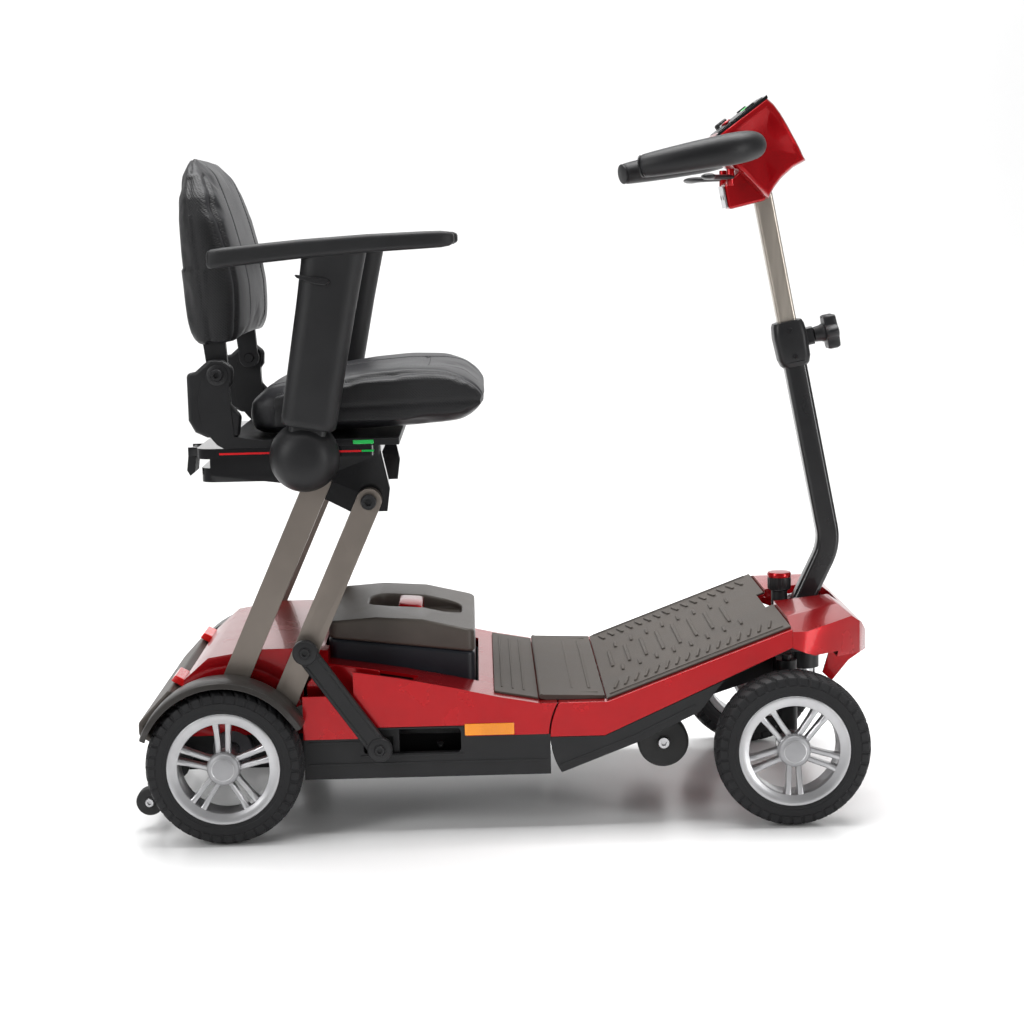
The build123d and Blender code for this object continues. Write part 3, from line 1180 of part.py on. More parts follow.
for hand_name, hand in SIDES:
    stand = Plane(origin=(SEAT_X + ARM_PIVOT[0], hand * ARM_Y, SEAT_Z + ARM_PIVOT[1]),
                  x_dir=(cos(arm_lean), 0, -sin(arm_lean)), z_dir=(sin(arm_lean), 0, cos(arm_lean)))
    centre = (SEAT_X + ARM_PIVOT[0], 0, SEAT_Z + ARM_PIVOT[1])
    section = Plane(origin=centre, x_dir=(0, 0, 1), z_dir=(-hand, 0, 0))
    with BuildPart() as arm_post:
        with BuildSketch(section):
            with BuildLine():
                face = Polyline((12, DOME_OUTER), (0, DOME_OUTER), (0, DOME_INNER),
                                (DOME_RADIUS - 6, DOME_INNER), (DOME_RADIUS, DOME_INNER + 10))
                ThreePointArc(face @ 1, (DOME_RADIUS * 0.8, DOME_OUTER - 14), face @ 0)
            make_face()
        revolve(axis=Axis(centre, (0, 1, 0)))
        with BuildSketch(stand.offset(12)):
            RectangleRounded(*INNER_POST, 8)
        extrude(amount=138)
        with BuildSketch(seat_slab(hand, DOME_INNER - 2, ARM_PIN_END + 0.5)):
            with Locations(ARM_PIVOT):
                Circle(8 + RUNNING)
        extrude(amount=ARM_PIN_END + 0.5 - DOME_INNER + 2, mode=Mode.SUBTRACT)
    keep(arm_post, f"armrest_post_{hand_name}")

    with BuildPart() as pad:
        with BuildSketch(stand.offset(48)):
            RectangleRounded(*SLEEVE, 14)
        extrude(amount=194)
        with BuildSketch(seat_slab(hand, DOME_INNER + 1, DOME_OUTER + 1)):
            with BuildLine():
                under = ThreePointArc((6, 721), (130, 731), (306, 742))
                over = ThreePointArc((304, 762), (130, 753), (6, 745))
                Line(under @ 1, over @ 0)
                Line(over @ 1, under @ 0)
            make_face()
        extrude(amount=DOME_OUTER - DOME_INNER)
        with BuildSketch(stand.offset(46)):
            RectangleRounded(INNER_POST[0] + 2 * SLIDE_FIT, INNER_POST[1] + 2 * SLIDE_FIT, 8)
        extrude(amount=176, mode=Mode.SUBTRACT)
    keep(pad, f"armrest_pad_{hand_name}")
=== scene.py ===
import math

import bmesh
import bpy
from mathutils import Matrix, Vector
from mathutils.bvhtree import BVHTree


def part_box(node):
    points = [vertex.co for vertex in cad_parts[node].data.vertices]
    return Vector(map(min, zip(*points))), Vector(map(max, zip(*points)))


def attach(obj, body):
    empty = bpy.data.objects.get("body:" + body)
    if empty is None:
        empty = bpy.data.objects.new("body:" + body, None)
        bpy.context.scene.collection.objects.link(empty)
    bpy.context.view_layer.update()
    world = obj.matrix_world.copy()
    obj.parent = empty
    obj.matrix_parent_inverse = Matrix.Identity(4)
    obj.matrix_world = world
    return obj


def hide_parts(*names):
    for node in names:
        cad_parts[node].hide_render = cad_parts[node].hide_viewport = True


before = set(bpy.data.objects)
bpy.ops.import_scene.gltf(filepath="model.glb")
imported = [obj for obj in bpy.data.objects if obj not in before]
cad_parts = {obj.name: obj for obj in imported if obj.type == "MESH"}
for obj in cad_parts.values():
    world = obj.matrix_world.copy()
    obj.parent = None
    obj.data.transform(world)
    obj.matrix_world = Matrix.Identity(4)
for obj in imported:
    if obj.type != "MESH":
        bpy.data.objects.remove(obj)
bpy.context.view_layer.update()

# ---- The studio ----
# The scooter stands side on, on a pale seamless floor, under large soft boxes. One hangs overhead, one
# stands at the left front and a long one lies low on the right, to draw lines of light on the red panels.

low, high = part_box("rear_tyre_left")
AXLE_X = (low[0] + high[0]) / 2


def at(x, y, z):
    """A point in metres from millimetres forward of the rear axle, to the rider's left and up."""
    return Vector((AXLE_X + x / 1000, y / 1000, z / 1000))


sweep = [(-9.0, 0.0), (3.0, 0.0)]
sweep += [(3.0 + 2.5 * math.sin(math.radians(a)), 2.5 - 2.5 * math.cos(math.radians(a))) for a in range(6,
           91, 6)]
sweep.append((5.5, 8.0))
floor_mesh = bpy.data.meshes.new("studio_floor")
floor_mesh.from_pydata([(x, y, z) for y, z in sweep for x in (-10.0, 10.0)], [],
                       [(2 * k, 2 * k + 1, 2 * k + 3, 2 * k + 2) for k in range(len(sweep) - 1)])
floor_mesh.shade_smooth()
studio_floor = bpy.data.objects.new("studio_floor", floor_mesh)
bpy.context.collection.objects.link(studio_floor)
floor_paint = bpy.data.materials.new("studio_floor")
floor_paint.use_nodes = True
floor_shader = floor_paint.node_tree.nodes["Principled BSDF"]
floor_shader.inputs["Base Color"].default_value = (0.9, 0.9, 0.9, 1)
floor_shader.inputs["Roughness"].default_value = 0.22
studio_floor.data.materials.append(floor_paint)

sky = bpy.data.worlds.new("studio")
bpy.context.scene.world = sky
sky.use_nodes = True
sky.node_tree.nodes["Background"].inputs["Color"].default_value = (1.0, 1.0, 1.0, 1)
sky.node_tree.nodes["Background"].inputs["Strength"].default_value = 0.2
bpy.context.scene.view_settings.view_transform = "Standard"


def soft_box(name, place, aim, width, height, watts):
    light = bpy.data.lights.new(name, "AREA")
    light.shape = "RECTANGLE"
    light.size = width
    light.size_y = height
    light.energy = watts
    lamp = bpy.data.objects.new(name, light)
    lamp.location = place
    lamp.rotation_euler = (aim - place).to_track_quat("-Z", "Y").to_euler()
    bpy.context.collection.objects.link(lamp)


MIDDLE = at(360, 0, 420)
soft_box("overhead", Vector((0, 0.2, 2.8)), MIDDLE, 3.0, 1.8, 125)
soft_box("left_front", Vector((-2.4, -2.0, 1.7)), MIDDLE, 0.8, 1.9, 42)
soft_box("right_low", Vector((2.4, -1.8, 0.8)), MIDDLE, 0.5, 1.7, 26)
soft_box("backdrop_wash", Vector((0, 1.4, 4.2)), Vector((0, 5.2, 1.6)), 7.0, 1.2, 230)

camera = bpy.data.objects.new("camera", bpy.data.cameras.new("camera"))
camera.data.lens = 70.05
camera.data.sensor_width = 36
forward = Vector((0.01467, 0.99026, -0.13845))
right = Vector((0.99959, -0.01793, -0.02228))
up = right.cross(forward)
eye = Matrix((right, up, -forward)).transposed().to_4x4()
eye.translation = at(332.7, -2681.8, 756.4)
camera.matrix_world = eye
bpy.context.collection.objects.link(camera)
bpy.context.scene.camera = camera


# ---- Frames, axles and drive ----
# Two frames in a black coat, one for each half of the chassis, with the bright pivot rods, drive case
# and fold actuator that they carry. Edges are broken, and the coat is fine orange peel.

def finish(name, colour, rough, metal=0.0, grain=600.0, bump=0.1, mottle=0.12, coat=0.0, stretch=(1, 1, 1),
           gloss=0.3):
    """A material with uneven colour and sheen and a fine grain. Scales are per metre."""
    material = bpy.data.materials.new(name)
    material.use_nodes = True
    nodes, links = material.node_tree.nodes, material.node_tree.links
    shader = nodes["Principled BSDF"]
    shader.inputs["Metallic"].default_value = metal
    shader.inputs["Coat Weight"].default_value = coat
    shader.inputs["Specular IOR Level"].default_value = gloss
    shader.inputs["Coat Roughness"].default_value = 0.04
    place = nodes.new("ShaderNodeTexCoord")
    squeeze = nodes.new("ShaderNodeMapping")
    squeeze.inputs["Scale"].default_value = stretch
    links.new(place.outputs["Object"], squeeze.inputs["Vector"])
    broad = nodes.new("ShaderNodeTexNoise")
    broad.inputs["Scale"].default_value = 22
    broad.inputs["Detail"].default_value = 6
    links.new(squeeze.outputs["Vector"], broad.inputs["Vector"])
    tint = nodes.new("ShaderNodeValToRGB")
    tint.color_ramp.elements[0].position = 0.3
    tint.color_ramp.elements[1].position = 0.7
    tint.color_ramp.elements[0].color = [c * (1 - mottle) for c in colour] + [1]
    tint.color_ramp.elements[1].color = [min(1, c * (1 + mottle)) for c in colour] + [1]
    links.new(broad.outputs["Fac"], tint.inputs["Fac"])
    links.new(tint.outputs["Color"], shader.inputs["Base Color"])
    sheen = nodes.new("ShaderNodeMapRange")
    sheen.inputs["To Min"].default_value = max(0.02, rough * 0.85)
    sheen.inputs["To Max"].default_value = min(1, rough * 1.18)
    links.new(broad.outputs["Fac"], sheen.inputs["Value"])
    links.new(sheen.outputs["Result"], shader.inputs["Roughness"])
    fine = nodes.new("ShaderNodeTexNoise")
    fine.inputs["Scale"].default_value = grain
    fine.inputs["Detail"].default_value = 3
    links.new(squeeze.outputs["Vector"], fine.inputs["Vector"])
    relief = nodes.new("ShaderNodeBump")
    relief.inputs["Strength"].default_value = bump
    relief.inputs["Distance"].default_value = 0.0004
    links.new(fine.outputs["Fac"], relief.inputs["Height"])
    links.new(relief.outputs["Normal"], shader.inputs["Normal"])
    return material


def skin(mesh, rings, caps=True):
    """Joins rings of corners into a tube, and closes both ends."""
    count = len(rings[0])
    for a, b in zip(rings, rings[1:]):
        for k in range(count):
            n = (k + 1) % count
            mesh.faces.new((a[k], a[n], b[n], b[k]))
    if caps:
        mesh.faces.new(rings[0])
        mesh.faces.new(rings[-1][::-1])


def show(name, mesh, body, material, stands_for=(), sharp=40):
    """Puts a mesh, or a bmesh, into the scene as a piece that rides on a body."""
    if isinstance(mesh, bmesh.types.BMesh):
        data = bpy.data.meshes.new(name)
        bmesh.ops.recalc_face_normals(mesh, faces=mesh.faces)
        mesh.to_mesh(data)
        mesh.free()
    else:
        data = mesh
    data.materials.clear()
    data.materials.append(material)
    data.shade_smooth()
    data.set_sharp_from_angle(angle=math.radians(sharp))
    piece = bpy.data.objects.new(name, data)
    bpy.context.collection.objects.link(piece)
    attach(piece, body)
    if stands_for:
        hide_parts(*stands_for)
    return piece


def round_edges(piece, width, segments=2, angle=38):
    """Breaks the sharp edges of a piece by a width in millimetres."""
    edge = piece.modifiers.new("broken_edges", "BEVEL")
    edge.width = width / 1000
    edge.segments = segments
    edge.limit_method = "ANGLE"
    edge.angle_limit = math.radians(angle)
    edge.use_clamp_overlap = True
    edge.harden_normals = True
    return piece


def soften(node, body, material, width=1.0, segments=2, tilt=0.6):
    """The CAD piece again, with its flat faces whole and its edges broken."""
    mesh = bmesh.new()
    mesh.from_mesh(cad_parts[node].data)
    bmesh.ops.remove_doubles(mesh, verts=mesh.verts, dist=1e-6)
    bmesh.ops.dissolve_limit(mesh, angle_limit=math.radians(tilt), verts=mesh.verts, edges=mesh.edges)
    return round_edges(show(node + "_skin", mesh, body, material, (node,)), width, segments)


def bolt(name, place, direction, radius, body, slot, material, sides=6, height=None, socket=True):
    """A screw head with a rounded rim and a hex socket, or a plain hex head. Sizes in millimetres."""
    height = height or radius * 0.7
    mesh = bmesh.new()
    rings = [(radius, 0), (radius, height * 0.55), (radius * 0.86, height), (radius * 0.5, height)]
    if socket:
        rings += [(radius * 0.5, height * 0.35), (0.001, height * 0.35)]
    else:
        rings += [(0.001, height)]
    turns = 24 if socket else sides
    loops = []
    for index, (r, h) in enumerate(rings):
        count = []
        for k in range(turns):
            angle = 2 * math.pi * k / turns
            if socket and index >= 3:
                flat = math.cos(math.pi / 6) / math.cos((angle % (math.pi / 3)) - math.pi / 6)
                count.append(mesh.verts.new((r * flat * math.cos(angle), r * flat * math.sin(angle), h)))
            else:
                count.append(mesh.verts.new((r * math.cos(angle), r * math.sin(angle), h)))
        loops.append(count)
    skin(mesh, loops, caps=False)
    mesh.faces.new(loops[0][::-1])
    bmesh.ops.remove_doubles(mesh, verts=mesh.verts, dist=0.01)
    turn = Vector(direction).to_track_quat("Z", "Y").to_matrix().to_4x4()
    mesh.transform(Matrix.Translation(place) @ turn @ Matrix.Scale(0.001, 4))
    return show(name, mesh, body, material)


black_coat = finish("black_powder_coat", (0.011, 0.011, 0.012), 0.42, grain=900, bump=0.25)
bright_steel = finish("bright_steel", (0.55, 0.55, 0.56), 0.3, metal=1.0, grain=300, bump=0.08,
                      stretch=(1, 1, 12))
cast_case = finish("cast_case", (0.13, 0.13, 0.14), 0.55, metal=0.6, grain=420, bump=0.4)

soften("rear_frame", "root", black_coat, 1.5)
soften("front_frame", "front_section", black_coat, 1.5)
soften("pivot_axles", "root", bright_steel, 0.8)
soften("transaxle", "root", cast_case, 2.0)
soften("drive_motor", "root", cast_case, 2.0)
soften("fold_actuator", "root", bright_steel, 1.0)
soften("link_carriage", "carriage", black_coat, 1.0)
soften("anti_tip_wheels", "anti_tip",
       finish("hard_tread", (0.03, 0.03, 0.03), 0.6, bump=0.3), 2.5, 3)
soften("floor_rollers", "rollers", bpy.data.materials["hard_tread"], 4.0, 3)
for side in (-1, 1):
    bolt(f"anti_tip_bolt_{side}", at(-107, side * 172, 38), (0, side, 0), 6, "anti_tip", "steel",
         bright_steel)
    bolt(f"roller_bolt_{side}", at(559, side * 176, 101), (0, side, 0), 8, "rollers", "steel", bright_steel)
    for x, z in ((488, 100), (380, 94)):
        bolt(f"frame_bolt_{side}_{x}", at(x - 110, side * 126, z), (0, side, 0), 5, "root", "steel",
             bright_steel)


# ---- Red covers ----
# Injection moulded shells in candy red: a clear coat over a metallic base, darker where it turns away.
# They sit on the frames, meet the black underbody at a shadow line, and have soft edges all round.

candy_red = finish("candy_red", (0.44, 0.003, 0.007), 0.26, metal=0.5, grain=3000, bump=0.02, mottle=0.08,
                   coat=0.45, gloss=0.2)
red_nodes, red_links = candy_red.node_tree.nodes, candy_red.node_tree.links
turning = red_nodes.new("ShaderNodeLayerWeight")
turning.inputs["Blend"].default_value = 0.35
deepen = red_nodes.new("ShaderNodeMix")
deepen.data_type = "RGBA"
deepen.inputs["B"].default_value = (0.2, 0.002, 0.004, 1)
red_shader = red_nodes["Principled BSDF"]
base_tint = red_shader.inputs["Base Color"].links[0].from_socket
red_links.new(turning.outputs["Facing"], deepen.inputs["Factor"])
red_links.new(base_tint, deepen.inputs["A"])
red_links.new(deepen.outputs["Result"], red_shader.inputs["Base Color"])

soften("rear_cover", "root", candy_red, 3.0, 4)
soften("front_cover", "front_section", candy_red, 2.0, 3)
soften("nose_cover", "front_section", candy_red, 3.5, 4)


# ---- Black underbody, bumper, fenders and reflectors ----
# The skirts and belly are textured charcoal plastic with moulded panel lines. The fenders and the rear
# bumper are a warm dark grey, and the lenses are prismatic amber and red.

textured_black = finish("textured_charcoal", (0.018, 0.018, 0.019), 0.55, grain=1400, bump=0.5)
warm_grey = finish("warm_grey_plastic", (0.07, 0.06, 0.052), 0.42, grain=1500, bump=0.3)
fender_grey = finish("fender_plastic", (0.034, 0.031, 0.029), 0.3, grain=1500, bump=0.2)
soften("rear_lower_body", "root", textured_black, 1.5)
soften("front_lower_body", "front_section", textured_black, 1.5)
soften("rear_bumper", "root", warm_grey, 3.0, 3)
soften("battery_dock", "root", textured_black, 1.0)


def strip(name, outline, y0, y1, body, slot, material, stands_for=(), width=0.6, segments=2):
    """A flat piece cut to an outline of (x, z) points and spread from y0 to y1, all in millimetres."""
    mesh = bmesh.new()
    near = [mesh.verts.new(at(x, y0, z)) for x, z in outline]
    far = [mesh.verts.new(at(x, y1, z)) for x, z in outline]
    mesh.faces.new(near)
    mesh.faces.new(far[::-1])
    for k in range(len(outline)):
        n = (k + 1) % len(outline)
        mesh.faces.new((near[n], near[k], far[k], far[n]))
    return round_edges(show(name, mesh, body, material, stands_for), width, segments)


SKIRT = ("root", "charcoal_plastic", textured_black)
SKIRT_FACE = 208
TROUGH = [(101, 150), (196, 150), (196, 205.3), (158, 211.6), (139, 214.2), (126, 211), (112, 203),
          (101, 190)]
for side in (-1, 1):
    strip(f"cover_trough_{side}", TROUGH, side * 173.2, side * 176.8, "root", "red_gloss", candy_red, (),
          2.5, 3)
for side in (-1, 1):
    y = side * SKIRT_FACE
    strip(f"skirt_rib_{side}", [(104, 90), (408, 90), (408, 92.5), (104, 92.5)], y - side, y + side * 0.9,
          *SKIRT)
    strip(f"skirt_step_{side}", [(104, 118.5), (168, 118.5), (168, 121), (104, 121)], y - side,
          y + side * 0.9, *SKIRT)
    strip(f"slot_rim_{side}", [(170, 99.5), (302, 99.5), (302, 102), (170, 102)], y - side, y + side * 1.2,
          *SKIRT)
    strip(f"sill_rib_{side}", [(424, 80.5), (520, 117), (598, 155), (597, 158), (519, 120), (423, 84)],
          y - side, y + side * 0.9, "front_section", "charcoal_plastic", textured_black)

FENDER_IN, FENDER_OUT = 108.0, 111.5
for side, hand in ((-1, "right"), (1, "left")):
    mesh = bmesh.new()
    rows = []
    for k in range(49):
        angle = math.radians(26 + 134 * k / 48)
        taper = min(1, (k + 2) / 6, (51 - k) / 6)
        profile = [(FENDER_IN, 205), (FENDER_IN, 251), (FENDER_IN - 5, 253.4), (FENDER_IN - 4, 254.3),
                   (FENDER_OUT - 1.5, 253.2), (FENDER_OUT, 250), (FENDER_OUT + 0.6, 228), (FENDER_OUT, 205)]
        rows.append([mesh.verts.new(at(r * math.cos(angle), side * (205 + (w - 205) * (0.75 + 0.25 * taper)),
                                       100 + r * math.sin(angle))) for r, w in profile])
    skin(mesh, rows)
    stands = ("rear_fenders",) if side == -1 else ()
    fender = show(f"fender_{hand}", mesh, "root", fender_grey, stands, sharp=50)
    round_edges(fender, 1.0, 2, 50)
    strip(f"fender_tab_{hand}", [(91, 150), (98, 148), (98, 170), (88, 166)], side * 204.5, side * 208.4,
          "root", "taupe_plastic", fender_grey)


def prism_lens(name, colour):
    """A clear coloured plastic with a field of small prisms behind its face."""
    material = finish(name, colour, 0.15, coat=0.6)
    nodes, links = material.node_tree.nodes, material.node_tree.links
    place = next(n for n in nodes if n.bl_idname == "ShaderNodeTexCoord")
    prisms = nodes.new("ShaderNodeTexVoronoi")
    prisms.inputs["Scale"].default_value = 420
    links.new(place.outputs["Object"], prisms.inputs["Vector"])
    relief = next(n for n in nodes if n.bl_idname == "ShaderNodeBump")
    relief.inputs["Strength"].default_value = 0.8
    links.new(prisms.outputs["Distance"], relief.inputs["Height"])
    return material


amber = prism_lens("amber_prisms", (0.95, 0.30, 0.01))
red_lens = prism_lens("red_prisms", (0.75, 0.01, 0.01))
for side in (-1, 1):
    stands = ("reflectors",) if side == -1 else ()
    strip(f"side_reflector_{side}", [(303, 125), (366, 125), (366, 140), (303, 140)], side * SKIRT_FACE,
          side * 209.8, "root", "amber_lens", amber, stands, 0.8)
    strip(f"tail_reflector_{side}", [(-57.5, 186), (-56.2, 197), (-68, 203), (-74, 196)], side * 112,
          side * 164, "root", "red_gloss", red_lens, (), 1.5)


# ---- Floor mats and flap ----
# Moulded rubber in the same warm grey. The front mat climbs the slope with one row of short slanted ribs
# down each side and longer ribs in the middle, and the loose flap bridges the fold with three ribs.

mat_rubber = finish("mat_rubber", (0.07, 0.06, 0.052), 0.62, grain=1100, bump=0.45)
soften("rear_mat", "root", mat_rubber, 0.8)
soften("floor_flap", "flap", mat_rubber, 1.0)
soften("front_mat", "front_section", mat_rubber, 1.2)


def bead(start, end, normal, width, height):
    """A raised bead with round ends lying on a surface, from start to end, in millimetres."""
    start, end = at(*start), at(*end)
    along = (end - start).normalized()
    lift = Vector(normal).normalized()
    across = lift.cross(along)
    half, tall = width / 2000, height / 1000
    mesh = bmesh.new()
    rings = []
    for scale, rise in ((1.0, -0.2), (0.92, 0.55), (0.6, 0.95), (0.25, 1.0)):
        ring = []
        for end_point, sign in ((start, -1), (end, 1)):
            for k in range(9):
                angle = math.pi * k / 8
                offset = (across * (half * scale * math.cos(angle) * sign)
                          + along * (half * scale * math.sin(angle) * sign))
                ring.append(mesh.verts.new(end_point + offset + lift * (tall * rise)))
        rings.append(ring)
    skin(mesh, rings, caps=False)
    mesh.faces.new(rings[-1])
    return mesh


def merge(meshes):
    """One bmesh from several."""
    whole = bmesh.new()
    for part in meshes:
        data = bpy.data.meshes.new("part")
        part.to_mesh(data)
        part.free()
        whole.from_mesh(data)
        bpy.data.meshes.remove(data)
    return whole


SLOPE = math.atan2(251.3 - 164, 722 - 486)
slope_normal = (-math.sin(SLOPE), 0, math.cos(SLOPE))


def on_slope(run, y):
    """A point on the front mat's top, a distance up the slope from its crease."""
    return (484.6 + run * math.cos(SLOPE), y, 167.75 + run * math.sin(SLOPE))


ribs = []
for side in (-1, 1):
    for k in range(16):
        run = 14 + 14.2 * k
        ribs.append(bead(on_slope(run, side * 168), on_slope(run + 6, side * 138), slope_normal, 4.2, 1.3))
    ribs.append(bead(on_slope(6, side * 188), on_slope(242, side * 188), slope_normal, 2.2, 1.0))
for k in range(9):
    run = 20 + 24 * k
    half = 62 - 16 * abs(k - 4) / 4
    if k < 8:
        ribs.append(bead(on_slope(run, -half), on_slope(run, half), slope_normal, 4.6, 1.3))
        for side in (-1, 1):
            ribs.append(bead(on_slope(run + 12, side * (half + 14)), on_slope(run + 12, side * (half + 40)),
                             slope_normal, 4.2, 1.3))
show("front_mat_ribs", merge(ribs), "front_section", mat_rubber, sharp=60)
ribs = [bead((x, -150, 168.3), (x, 150, 168.3), (0, 0, 1), 4.4, 2.0) for x in (421, 443, 465)]
ribs += [bead((414, side * 172, 168.3), (474, side * 172, 168.3), (0, 0, 1), 3, 1.2) for side in (-1, 1)]
show("flap_ribs", merge(ribs), "flap", mat_rubber, sharp=60)
ribs = [bead((x, -160, z), (x, 160, z), (0.19, 0, 1), 3, 1.1)
        for x, z in ((352, 175.9), (366, 173.4), (380, 170.9))]
show("rear_mat_ribs", merge(ribs), "root", mat_rubber, sharp=60)


# ---- Battery ----
# A lift-off pack: textured blue-black case, warm grey lid with a moulded recess, and a red carrying
# handle that bridges it. A shadow gap runs where the halves meet.

case_plastic = finish("battery_case_plastic", (0.012, 0.014, 0.019), 0.35, grain=1300, bump=0.35)
lid_plastic = finish("battery_lid_plastic", (0.075, 0.064, 0.055), 0.38, grain=1500, bump=0.3)
soften("battery_case", "battery", case_plastic, 4.0, 4)
soften("battery_cover", "battery", lid_plastic, 4.0, 4)
mesh = bmesh.new()
arc = [(-44, 248), (-44, 256), (-40, 262), (-32, 265.5), (32, 265.5), (40, 262), (44, 256), (44, 248)]
inner = [(-35, 248), (-35, 253), (-33, 256.5), (-29, 258), (29, 258), (33, 256.5), (35, 253), (35, 248)]
sides = []
for x, drop in ((216, 1.5), (222, 0), (242, 0), (248, 1.5)):
    sides.append([mesh.verts.new(at(x, y, z - drop - (x - 216) * 0.08)) for y, z in arc + inner[::-1]])
skin(mesh, sides, caps=False)
for k in range(7):
    for ring, flip in ((sides[0], 1), (sides[-1], -1)):
        mesh.faces.new((ring[k], ring[k + 1], ring[14 - k], ring[15 - k])[::flip])
round_edges(show("carrying_handle", mesh, "battery", candy_red, ("battery_handle",)), 1.5, 3)


# ---- Wheels ----
# Solid black tyres with a blocked tread on silver painted rims. Each rim has five pairs of slim spokes,
# a deep barrel with a rolled lip, and a plain grey hub cap. The rear pair drive, and the front pair steer.

tyre_rubber = finish("tyre_rubber", (0.011, 0.011, 0.012), 0.6, grain=700, bump=0.35)
rim_silver = finish("rim_silver", (0.46, 0.46, 0.47), 0.34, metal=0.75, grain=2200, bump=0.06, coat=0.25)
cap_grey = finish("cap_grey", (0.33, 0.33, 0.34), 0.4, metal=0.3, grain=1500, bump=0.12)


def tread_height(angle, across):
    """Groove depth in millimetres at an angle round the tyre and a place across its crown."""
    width = abs(across)
    if 6.2 < width < 8.0:
        return 2.3
    row = 0 if width < 6.5 else 1
    bend = (width / 22) ** 1.6 * (6 if across > 0 else -6)
    phase = (math.degrees(angle) + bend + row * 4.5 + (3 if across > 0 and row else 0)) % 9
    return 2.6 if phase < (2.3 if row else 1.4) else 0.0


def spun(profile, centre, side, turns=96):
    """A closed ring of (radius, outward) points in millimetres spun about a wheel's axle."""
    mesh = bmesh.new()
    loops = []
    for k in range(turns):
        angle = 2 * math.pi * k / turns
        loops.append([mesh.verts.new(centre + Vector((r * math.cos(angle), side * w, r * math.sin(angle)))
                                     / 1000) for r, w in profile])
    skin(mesh, loops + loops[:1], caps=False)
    return mesh


def tyre(name, centre, side, body, node):
    mesh = bmesh.new()
    turns, across = 320, 40
    wall = [(68.2, 19), (70, 22.4), (73, 23.4), (76, 23.2), (77, 23.9), (84, 24), (85, 23.2), (86, 23.9),
            (91, 23.2), (94, 22.0)]
    loops = []
    for k in range(turns):
        angle = 2 * math.pi * k / turns
        profile = [(r, w - 0.6 * tread_height(angle, 21) * (r > 85.5)) for r, w in wall]
        for i in range(across + 1):
            w = 21.6 - 43.2 * i / across
            crown = 99.8 - 5.2 * (abs(w) / 21.6) ** 2.6
            profile.append((crown - tread_height(angle, w), w))
        profile += [(r, 0.6 * tread_height(angle, -21) * (r > 85.5) - w) for r, w in reversed(wall)]
        loops.append([mesh.verts.new(centre + Vector((r * math.cos(angle), side * w, r * math.sin(angle)))
                                     / 1000) for r, w in profile])
    skin(mesh, loops + loops[:1], caps=False)
    show(name, mesh, body, tyre_rubber, (node,), sharp=32)


def rim(name, centre, side, body, node, first_spoke, shaft):
    """A rim with barrel, hub and five pairs of spokes, its cap, and a drive shaft or a bearing ring."""
    barrel = spun([(67.8, 18.8), (70.5, 20.6), (71.6, 22.6), (70.4, 24.2), (66.5, 24.4), (61.5, 21.8),
                  (58.2, 20.4), (57.4, 18.8), (57.8, 8), (58.5, -18.8), (67.8, -18.8)], centre, side)
    hub = spun([(0.01, 10), (20, 10), (21.5, 12.5), (21.5, 16), (20, 18.5), (0.01, 18.5)], centre, side, 64)
    inner = spun([(0.01, 12), (17, 12), (19, 6), (19, -14), (16, -16), (0.01, -16)], centre, side, 48)
    parts = [barrel, hub, inner]
    for k in range(5):
        lean = math.radians(first_spoke + 72 * k)
        for twin in (-1, 1):
            spoke = bmesh.new()
            rings = []
            for r, wide, place, face, depth in ((15, 3.6, 6.0, 15, 11), (26, 3.3, 6.1, 16.4, 11),
                                                (44, 3.3, 7.0, 17.6, 12), (55, 3.8, 7.9, 18.6, 13),
                                                (61, 5.2, 8.8, 19.0, 14)):
                ring = []
                for u, h in ((-wide, 0), (-wide, -depth), (wide, -depth), (wide, 0), (wide * 0.55, 1.3),
                             (-wide * 0.55, 1.3)):
                    t = twin * place + u
                    ring.append(spoke.verts.new(centre + Vector((
                        r * math.cos(lean) - t * math.sin(lean), side * (face + h),
                        r * math.sin(lean) + t * math.cos(lean))) / 1000))
                rings.append(ring)
            skin(spoke, rings)
            parts.append(spoke)
    piece = show(name, merge(parts), body, rim_silver, (node,), sharp=35)
    round_edges(piece, 0.8, 2, 50)
    cap = spun([(0.01, 18), (19.6, 18), (20.4, 20), (20.0, 23.5), (17.5, 25.6), (12, 26.6), (0.01, 27)],
               centre, side, 64)
    show(name + "_cap", cap, body, cap_grey, sharp=60)
    ring = spun([(13.2, 26.2), (13.8, 26.7), (14.6, 26.4), (14.4, 25.8), (13.4, 25.8)], centre, side, 64)
    show(name + "_cap_ring", ring, body, rim_silver, sharp=60)
    if shaft:
        rod = spun([(0.01, -16), (8, -16), (8, -109), (0.01, -109)], centre, side, 32)
    else:
        rod = spun([(9, -15), (13, -15), (13, -18.5), (9, -18.5)], centre, side, 32)
    show(name + "_shaft", rod, body, bright_steel, sharp=40)
    return piece


WHEELBASE, REAR_MIDDLE, FRONT_MIDDLE, TYRE_RADIUS = 720, 228, 212, 100
for hand, side in (("left", 1), ("right", -1)):
    for axle, x, y, first in (("rear", 0, REAR_MIDDLE, 90), ("front", WHEELBASE, FRONT_MIDDLE, -90)):
        body = f"{axle}_wheel_{hand}"
        middle = at(x, side * y, TYRE_RADIUS)
        tyre(f"{axle}_tread_{hand}", middle, side, body, f"{axle}_tyre_{hand}")
        rim(f"{axle}_spokes_{hand}", middle, side, body, f"{axle}_rim_{hand}", first, axle == "rear")


# ---- Steering gear and lock knob ----
# Two stub axle knuckles, a tie rod and the stem that drives it, in bright and black steel, with the
# tiller's spring lock beside the stem: a black ribbed knob with a red cap.

